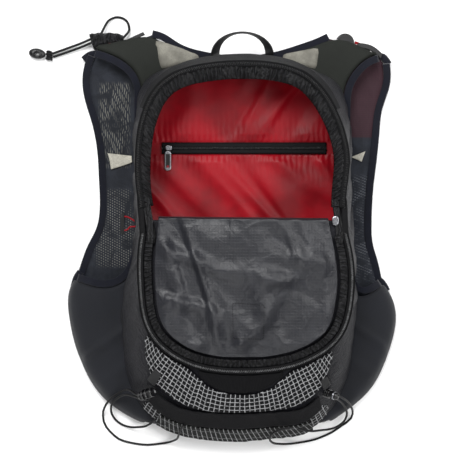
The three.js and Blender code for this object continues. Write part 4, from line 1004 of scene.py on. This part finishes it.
class VEST_OT_stage(VestOperator):
    """Lay the pale floor, the soft light and the camera"""
    bl_idname = "vest.stage"
    bl_label = "Stage"

    def execute(self, context):
        stage = context.scene.vest_stage
        half = stage.floor_size / 2
        mesh = bpy.data.meshes.new("floor")
        corners = [(-half, -half, 0), (half, -half, 0), (half, half, 0), (-half, half, 0)]
        mesh.from_pydata(corners, [], [range(4)])
        f = Finish("floor", roughness=0.9, specular_ior_level=0.1)
        tone = f.noise(0.4, 2) * 0.01 + (stage.floor_tone - 0.005)
        f.set(base_color=f.joined(tone, tone, tone))
        mesh.materials.append(f.material)
        floor = bpy.data.objects.new("floor", mesh)
        context.scene.collection.objects.link(floor)
        world = bpy.data.worlds.new("studio")
        world.use_nodes = True
        ground = world.node_tree.nodes["Background"]
        ground.inputs["Color"].default_value = (1, 1, 1, 1)
        ground.inputs["Strength"].default_value = WORLD_SHARE * stage.light
        context.scene.world = world
        for name, place, size, power in SOFT_BOXES:
            data = bpy.data.lights.new(name, "AREA")
            data.size = size
            data.energy = power * stage.light
            lamp = bpy.data.objects.new(name, data)
            lamp.location = place
            lamp.rotation_euler = (Vector((0, 0, 0.05)) - Vector(place)).to_track_quat("-Z", "Y").to_euler()
            context.scene.collection.objects.link(lamp)
        data = bpy.data.cameras.new("camera")
        data.sensor_width = stage.sensor
        data.lens = stage.sensor / (2 * math.tan(CAMERA_VIEW / 2))
        data.clip_end = 20
        camera = bpy.data.objects.new("camera", data)
        camera.location = CAMERA_PLACE
        context.scene.collection.objects.link(camera)
        context.scene.camera = camera
        context.scene.view_settings.view_transform = "Standard"
        return {"FINISHED"}


def knot_piece():
    """A stopper knot: the doubled cord wound round itself, with its strands crossing."""
    middle, half = middle_and_half("toggle_knot")
    points = []
    for k in range(KNOT_POINTS):
        t = k / (KNOT_POINTS - 1)
        angle = 2 * math.pi * KNOT_TURNS * t
        ring = 0.72 + 0.12 * math.sin(angle * 0.5)
        points.append(middle + Vector((
            half.x * ring * math.cos(angle), half.y * (0.72 * (2 * t - 1) + 0.12 * math.sin(angle)),
            half.z * ring * 0.78 * math.sin(angle))))
    obj = tube("toggle_knot_wound", points, sizes().drawcord, "black_cord", sides=3)
    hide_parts("toggle_knot")
    return obj


def toggle_piece():
    """An oval moulded toggle with grooves and a hollow for the cord."""
    middle, _ = middle_and_half("toggle")

    def lift(co, _):
        x, y = (co.x - middle.x) / MM, (co.y - middle.y) / MM
        along = x * math.cos(TOGGLE_TILT) - y * math.sin(TOGGLE_TILT)
        across = x * math.sin(TOGGLE_TILT) + y * math.cos(TOGGLE_TILT)
        groove = math.exp(-((along + 1.5 - across * 0.7) / 1.1) ** 2) + math.exp(-((along - 4.2) / 0.9) ** 2)
        hollow = math.exp(-(along / 4.5) ** 2 - (across / 2.2) ** 2)
        return -(groove * 0.9 + hollow * 1.1) * MM * (1 if co.z > middle.z else 0)
    return dress("toggle_moulded", "toggle", "moulded", 1, lift, levels=3, crease_angle=80)


class VEST_OT_cords(VestOperator):
    """Lay the elastic cords, the shoulder cords and the toggle on its knot"""
    bl_idname = "vest.cords"
    bl_label = "Cords"

    def execute(self, context):
        ends = {"toggle_cord_upper": (knot_piece(), toggle_piece())}
        for name, places in CORD_ROUTES.items():
            size, end, stiffness, look, slot = CORD_FACTS[name.split("_")[0]]
            thickness = getattr(sizes(), size)
            route = flowing([row_place(p) for p in places], ROUTE_POINTS)
            obj = tube(name + "_braid", route, thickness, look, sides=4)
            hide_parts(name)
        return {"FINISHED"}


class VEST_OT_harness(VestOperator):
    """Dress the back panel, the shoulders, the front panels, the wings and their bindings"""
    bl_idname = "vest.harness"
    bl_label = "Harness"

    def execute(self, context):
        back = dress("back_panel_mesh", "back_panel", "back_panel_cloth", 7,
                     lambda co, _: 0.5 * MM * unit_noise(co, 30 * MM))
        for side, sign in (("left", -1), ("right", 1)):
            def panel_lift(co, _):
                diagonal = fold_noise((co.x * 1.6, co.y * 0.7 + co.x * 0.8, 0), 34 * MM, 1.7 * sign, 2.0)
                return (diagonal * 1.5 + unit_noise(co, 24 * MM, 4.0) * 0.5) * MM

            def wing_lift(co, _):
                x, y = co.x / MM - PACK_CENTRE[0] / MM, co.y / MM - PACK_CENTRE[1] / MM
                across = (x * sign) * 0.62 + y * 0.78
                ridge = (math.exp(-((across - 2 + 0.1 * y) / 5) ** 2)
                         + 0.6 * math.exp(-((across + 22) / 7) ** 2))
                top = min(1.0, max(0.0, co.z / MM / 14))
                return (ridge * 2.6 + unit_noise(co, 34 * MM, 5.0) * 1.6) * MM * top
            panel = dress(f"front_panel_{side}_cloth", f"front_panel_{side}", f"{side}_panel_cloth",
                          3.5, panel_lift, spread=4.5 * MM)
            dress(f"front_patch_{side}_cloth", f"front_patch_{side}", "pale_cloth", 2.5,
                  lambda co, uv: panel_lift(co, uv) + 0.7 * MM)
            dress(f"yoke_{side}_cloth", f"yoke_{side}", "yoke_cloth", 3.5,
                  lambda co, _: 0.5 * MM * unit_noise(co, 26 * MM, 2.0), spread=2.2 * MM)
            dress(f"yoke_window_{side}_cloth", f"yoke_window_{side}", "window_cloth", 3,
                  spread=3.2 * MM)
            wing = dress(f"side_wing_{side}_cloth", f"side_wing_{side}", "wing_cloth", 3.2,
                         wing_lift, spread=1.3 * MM)
        for node in ("neck_binding", "armhole_binding_left", "armhole_binding_right", "front_binding_left",
                     "front_binding_right"):
            dress(f"{node}_cloth", node, "binding", 3,
                  lambda co, _: 0.3 * MM * unit_noise(co, 6 * MM), crease_angle=75)
        dress("sternum_strap_webbing", "sternum_strap", "webbing", 3,
              lambda co, _: 0.15 * MM * math.sin(co.y * 2 * math.pi / (3 * MM)))
        return {"FINISHED"}


class VEST_OT_pack(VestOperator):
    """Dress the pack's wall, front, top band and inner wall, and lay the red lining"""
    bl_idname = "vest.pack"
    bl_label = "Pack body"

    def execute(self, context):
        high = sizes().wrinkle
        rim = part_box("pack_wall")[1].z

        def wall_lift(co, uv):
            """Free folds, which sink under the bands at the pack's top and bottom."""
            along, up = uv
            folds = fold_noise((along * 1.1 + up * 0.5, up * 0.45, 0), 30 * MM, 0.7, 1.2)
            small = fold_noise((along, up * 0.8, 0), 9 * MM, 5.1, 1.6)
            across = (co.y - PACK_CENTRE[1]) / MM
            banded = max(0.0, min(1.0, (across - 138) / 12), min(1.0, (-76 - across) / 16))
            under = (folds - 1) * high * 0.9 - 0.7 * MM
            free = folds * high * 1.5 + small * 0.6 * MM - 1.2 * MM
            fade = min(1.0, max(0.0, (rim - co.z) / (10 * MM)))
            return (free + (under - free) * banded) * fade
        dress("pack_wall_cloth", "pack_wall", "wall_cloth", 3.2, wall_lift, outward, True)
        dress("pack_front_cloth", "pack_front", "wall_cloth", 4)
        dress("top_band_cloth", "top_band", "band_cloth", 3,
              lambda co, _: 0.35 * MM * unit_noise(co, 14 * MM), outward, True)
        dress("inner_wall_cloth", "inner_wall", "flap_cloth", 3.5,
              lambda _, uv: -0.8 * MM * fold_noise((uv[0], uv[1] * 0.4, 0), 16 * MM, 2.2), outward, True)
        seam_low, seam_high = (corner.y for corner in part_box("pocket_zip"))

        def lining_lift(co, _):
            """Gathers at the pocket's zip, and diagonal folds away from it."""
            near = min(abs(co.y - seam_low), abs(co.y - seam_high))
            gather = math.exp(-near / (11 * MM)) * math.sin(
                co.x * 2 * math.pi / (6.3 * MM) + 2.2 * unit_noise(co, 12 * MM))
            inside = seam_low - 1 * MM < co.y < seam_high + 1 * MM
            if inside:
                return -0.8 * MM
            lean = -0.4 if co.y > (seam_low + seam_high) / 2 else 0.55
            diagonal = fold_noise((co.x * 0.75 + co.y * lean, co.y * 0.35, 0), 34 * MM, 2.4, 2.0)
            soft = unit_noise((co.x, co.y * 0.6, 0), 46 * MM, 1.2)
            clear = min(1.0, near / (9 * MM))
            return (gather * 0.9 - 0.3 + (diagonal * 3.6 + soft * 1.8) * clear) * MM
        lining = dress("lining_cloth", "lining", "lining_cloth", 2.2, lining_lift)
        return {"FINISHED"}


class VEST_OT_opening(VestOperator):
    """Make the opening's zips, coils, gathered gussets and the main slider"""
    bl_idname = "vest.opening"
    bl_label = "Opening"

    def execute(self, context):
        pleat = sizes().pleat

        def gather(_, uv):
            wander = unit_noise((uv[0], uv[1], 0), 14 * MM, 3.3)
            fine = math.sin(uv[0] * 2 * math.pi / (5.2 * MM) + 2.5 * wander)
            return pleat * (0.55 * fine + 0.8 * fold_noise((uv[0], uv[1] * 0.6, 0), 8 * MM, 1.1))
        for node in ("body_gusset", "flap_gusset"):
            dress(f"{node}_cloth", node, "gathered_cloth", 1.8, gather, ring=True,
                  outer=2.2 * MM)
        for node in ("body_zip", "flap_zip"):
            dress(f"{node}_tape", node, "zip_tape", 2.5, ring=True)
        hinge_tapes("zip", ring_line("body_zip", 0.55), ring_line("flap_zip", 0.55), 7 * MM,
                    "zip_tape")
        hinge_tapes("gusset", ring_line("body_gusset", 0.5), ring_line("flap_gusset", 0.5), 8 * MM,
                    "gathered_cloth")
        for node, radius, wire, look in (
                ("body_zip", 1.3, 0.75, "coil"), ("flap_zip", 1.0, 0.6, "light_coil")):
            coil(f"{node}_coil", ring_line(node, 0.55, 0.3 * MM), radius * MM, wire * MM, look)
        for node in ("body_zip", "flap_zip"):
            for k, share in enumerate(SEAM_SHARES):
                stitches(f"{node}_seam_{k}", ring_line(node, share, 0.05 * MM))
        dress("main_slider_metal", "main_slider", "metal", 1, levels=3, crease_angle=95)
        return {"FINISHED"}


class VEST_OT_flap(VestOperator):
    """Lay the unzipped flap with its wrinkles and its stitched square"""
    bl_idname = "vest.flap"
    bl_label = "Flap"

    def execute(self, context):
        high = sizes().wrinkle
        low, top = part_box("flap")

        def flap_lift(co, _):
            long_folds = fold_noise((co.x + co.y * 0.55, co.y * 0.5 - co.x * 0.25, 0), 50 * MM, 3.9, 1.5)
            cross = fold_noise((co.x * 0.45 + co.y * 0.9, co.y * 0.8 - co.x * 0.6, 0), 62 * MM, 7.7, 1.8)
            fine = fold_noise((co.x, co.y, 0), 12 * MM, 1.9, 1.5)
            fade = min(1.0, max(0.15, min(co.x - low.x, top.x - co.x, co.y - low.y) / (14 * MM)))
            return (long_folds * 2.3 * high + cross * 2.2 * high + fine * 0.5 * MM - 1.2 * high) * fade
        flap = dress("flap_cloth", "flap", "flap_cloth", 2.2, flap_lift)
        line = []
        for (x1, y1), (x2, y2) in zip(FLAP_SQUARE, FLAP_SQUARE[1:] + FLAP_SQUARE[:1]):
            for k in range(SQUARE_POINTS):
                x = (x1 + (x2 - x1) * k / SQUARE_POINTS) * MM + PACK_CENTRE[0]
                y = (y1 + (y2 - y1) * k / SQUARE_POINTS) * MM + PACK_CENTRE[1]
                hit, place, _, _ = flap.ray_cast(Vector((x, y, 1)), Vector((0, 0, -1)))
                if hit:
                    line.append(Vector((x, y, place.z + 0.2 * MM)))
        stitches("flap_square_seam", line + line[:1], 0.8 * MM)
        return {"FINISHED"}


class VEST_OT_pocket(VestOperator):
    """Make the inner pocket's zip with its coil, slider and pull"""
    bl_idname = "vest.pocket"
    bl_label = "Inner pocket"

    def execute(self, context):
        dress("pocket_zip_tape", "pocket_zip", "zip_tape", 2.5,
              lambda co, _: 0.12 * MM * unit_noise(co, 5 * MM))
        low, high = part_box("pocket_zip")

        def level_line(y, lift):
            return [Vector((low.x + (high.x - low.x) * k / ZIP_POINTS, y, high.z + lift))
                    for k in range(ZIP_POINTS + 1)]
        coil("pocket_zip_coil", level_line((low.y + high.y) / 2, 0.3 * MM), 1.5 * MM, 0.8 * MM, "coil")
        for k, share in enumerate(SEAM_SHARES):
            line = level_line(low.y + (high.y - low.y) * share, 0.1 * MM)
            stitches(f"pocket_zip_seam_{k}", line)
        for name, look in (("pocket_slider", "metal"), ("pocket_pull", "pull_finish")):
            dress(f"{name}_metal", name, look, 1, levels=3, crease_angle=95)
        return {"FINISHED"}


class VEST_OT_bands(VestOperator):
    """Dress the stretch panel, the grid pocket, the smooth bottom band and the grid hem"""
    bl_idname = "vest.bands"
    bl_label = "Lower bands"

    def execute(self, context):
        ripple = sizes().wrinkle * 0.35

        def band_lift(_, uv):
            return ripple * (fold_noise((uv[0], uv[1] * 0.5, 0), 13 * MM, 2.9) - 0.2)
        for node, look, slot in (
                ("stretch_panel", "stretch_panel", "black_cloth"),
                ("grid_pocket", "grid_cloth", "grid_cloth"),
                ("bottom_band", "band_cloth", "black_cloth"),
                ("grid_hem", "hem_cloth", "grid_cloth")):
            dress(f"{node}_cloth", node, look, 2.5, band_lift, outward, True)
        return {"FINISHED"}


class VEST_OT_grab_loop(VestOperator):
    """Dress the webbing grab loop"""
    bl_idname = "vest.grab_loop"
    bl_label = "Grab loop"

    def execute(self, context):
        dress("grab_loop_webbing", "grab_loop", "webbing", 1.5, crease_angle=60)
        return {"FINISHED"}


def lock_parts():
    """Shiny rims and ribs on the locks, and the right lock's plated button."""
    for lock, name, profile, look, slot, places in LOCK_PARTS:
        middle, axis = row_place(lock["place"]), Vector(lock["axis"])
        for k, along in enumerate(places):
            way = -axis if profile is RIM_PROFILE and along < 0 else axis
            turned(f"{name}{k}" if name.endswith("_") else name, middle + axis * (along * MM), way, profile,
                   look)


def grid_patch(wall, name, low, high):
    """A small patch of grid cloth that follows the pack's wall between two corners."""
    bm = bmesh.new()
    bm.from_mesh(wall.data)
    spare = [f for f in bm.faces if not (
        all(a <= b <= c for a, b, c in zip(low, f.calc_center_median(), high))
        and f.normal.dot(outward(f.calc_center_median())) > 0.2)]
    bmesh.ops.delete(bm, geom=spare, context="FACES")
    bm.normal_update()
    for v in bm.verts:
        v.co += v.normal * (0.8 * MM)
    obj = meshed(bm, name, "grid_cloth")
    shell = obj.modifiers.new("thickness", "SOLIDIFY")
    shell.thickness = 0.7 * MM
    shell.offset = -1


class VEST_OT_fittings(VestOperator):
    """Dress the webbing tabs, cord locks and the fittings on the shoulders"""
    bl_idname = "vest.fittings"
    bl_label = "Fittings"

    def execute(self, context):
        for node in ("tab_left", "tab_right", "shoulder_tape", "shoulder_strap"):
            dress(f"{node}_webbing", node, "webbing", 1.5,
                  lambda co, _: 0.15 * MM * unit_noise(co, 3 * MM))
        for node in ("red_tag_left", "red_tag_right"):
            dress(f"{node}_tape", node, "red_tape", 1.5)
        dress("shoulder_sleeve_cloth", "shoulder_sleeve", "gathered_cloth", 1.6,
              lambda co, _: (2.6 * fold_noise((co.x * 1.3 + co.y, co.y * 0.5, 0), 9 * MM, 4.4) - 0.6) * MM,
              lambda co: Vector((0, 0.35, 1 if co.z > 5 * MM else 0)))
        for node, edge, levels in (
                ("shoulder_cap", 1.5, 2), ("red_cord_pull", 1, 3),
                ("cord_lock_left", 1, 2), ("cord_lock_right", 1, 2)):
            dress(f"{node}_moulded", node, "moulded", edge, levels=levels)
        lock_parts()
        for name, route in BINDING_CORNERS.items():
            ribbon(f"binding_corner_{name}", flowing([row_place(p) for p in route], CORNER_POINTS), 8 * MM,
                   3 * MM, "binding")
        wall = bpy.data.objects["pack_wall_cloth"]
        for side, (low, high) in GRID_PATCHES.items():
            grid_patch(wall, f"grid_patch_{side}", row_place(low), row_place(high))
        return {"FINISHED"}


class VEST_PT_panel(bpy.types.Panel):
    """The vest's steps and their sizes"""
    bl_label = "Running vest"
    bl_idname = "VEST_PT_panel"
    bl_space_type = "VIEW_3D"
    bl_region_type = "UI"
    bl_category = "Vest"

    def draw(self, context):
        for step in STEPS:
            self.layout.operator(step.bl_idname)
        for group in (context.scene.vest_sizes, context.scene.vest_colours, context.scene.vest_stage):
            box = self.layout.box()
            for name in group.bl_rna.properties.keys():
                if name not in ("rna_type", "name"):
                    box.prop(group, name)


STEPS = (VEST_OT_stage, VEST_OT_cords, VEST_OT_harness, VEST_OT_pack, VEST_OT_opening, VEST_OT_flap,
         VEST_OT_pocket, VEST_OT_bands, VEST_OT_grab_loop, VEST_OT_fittings)
CLASSES = (VestColours, VestSizes, VestStage, *STEPS, VEST_PT_panel)


def register():
    for cls in CLASSES:
        bpy.utils.register_class(cls)
    bpy.types.Scene.vest_colours = PointerProperty(type=VestColours)
    bpy.types.Scene.vest_sizes = PointerProperty(type=VestSizes)
    bpy.types.Scene.vest_stage = PointerProperty(type=VestStage)


def unregister():
    del bpy.types.Scene.vest_stage
    del bpy.types.Scene.vest_sizes
    del bpy.types.Scene.vest_colours
    for cls in reversed(CLASSES):
        bpy.utils.unregister_class(cls)


def main():
    register()
    for step in STEPS:
        group, name = step.bl_idname.split(".")
        getattr(getattr(bpy.ops, group), name)()


if __name__ == "__main__":
    main()
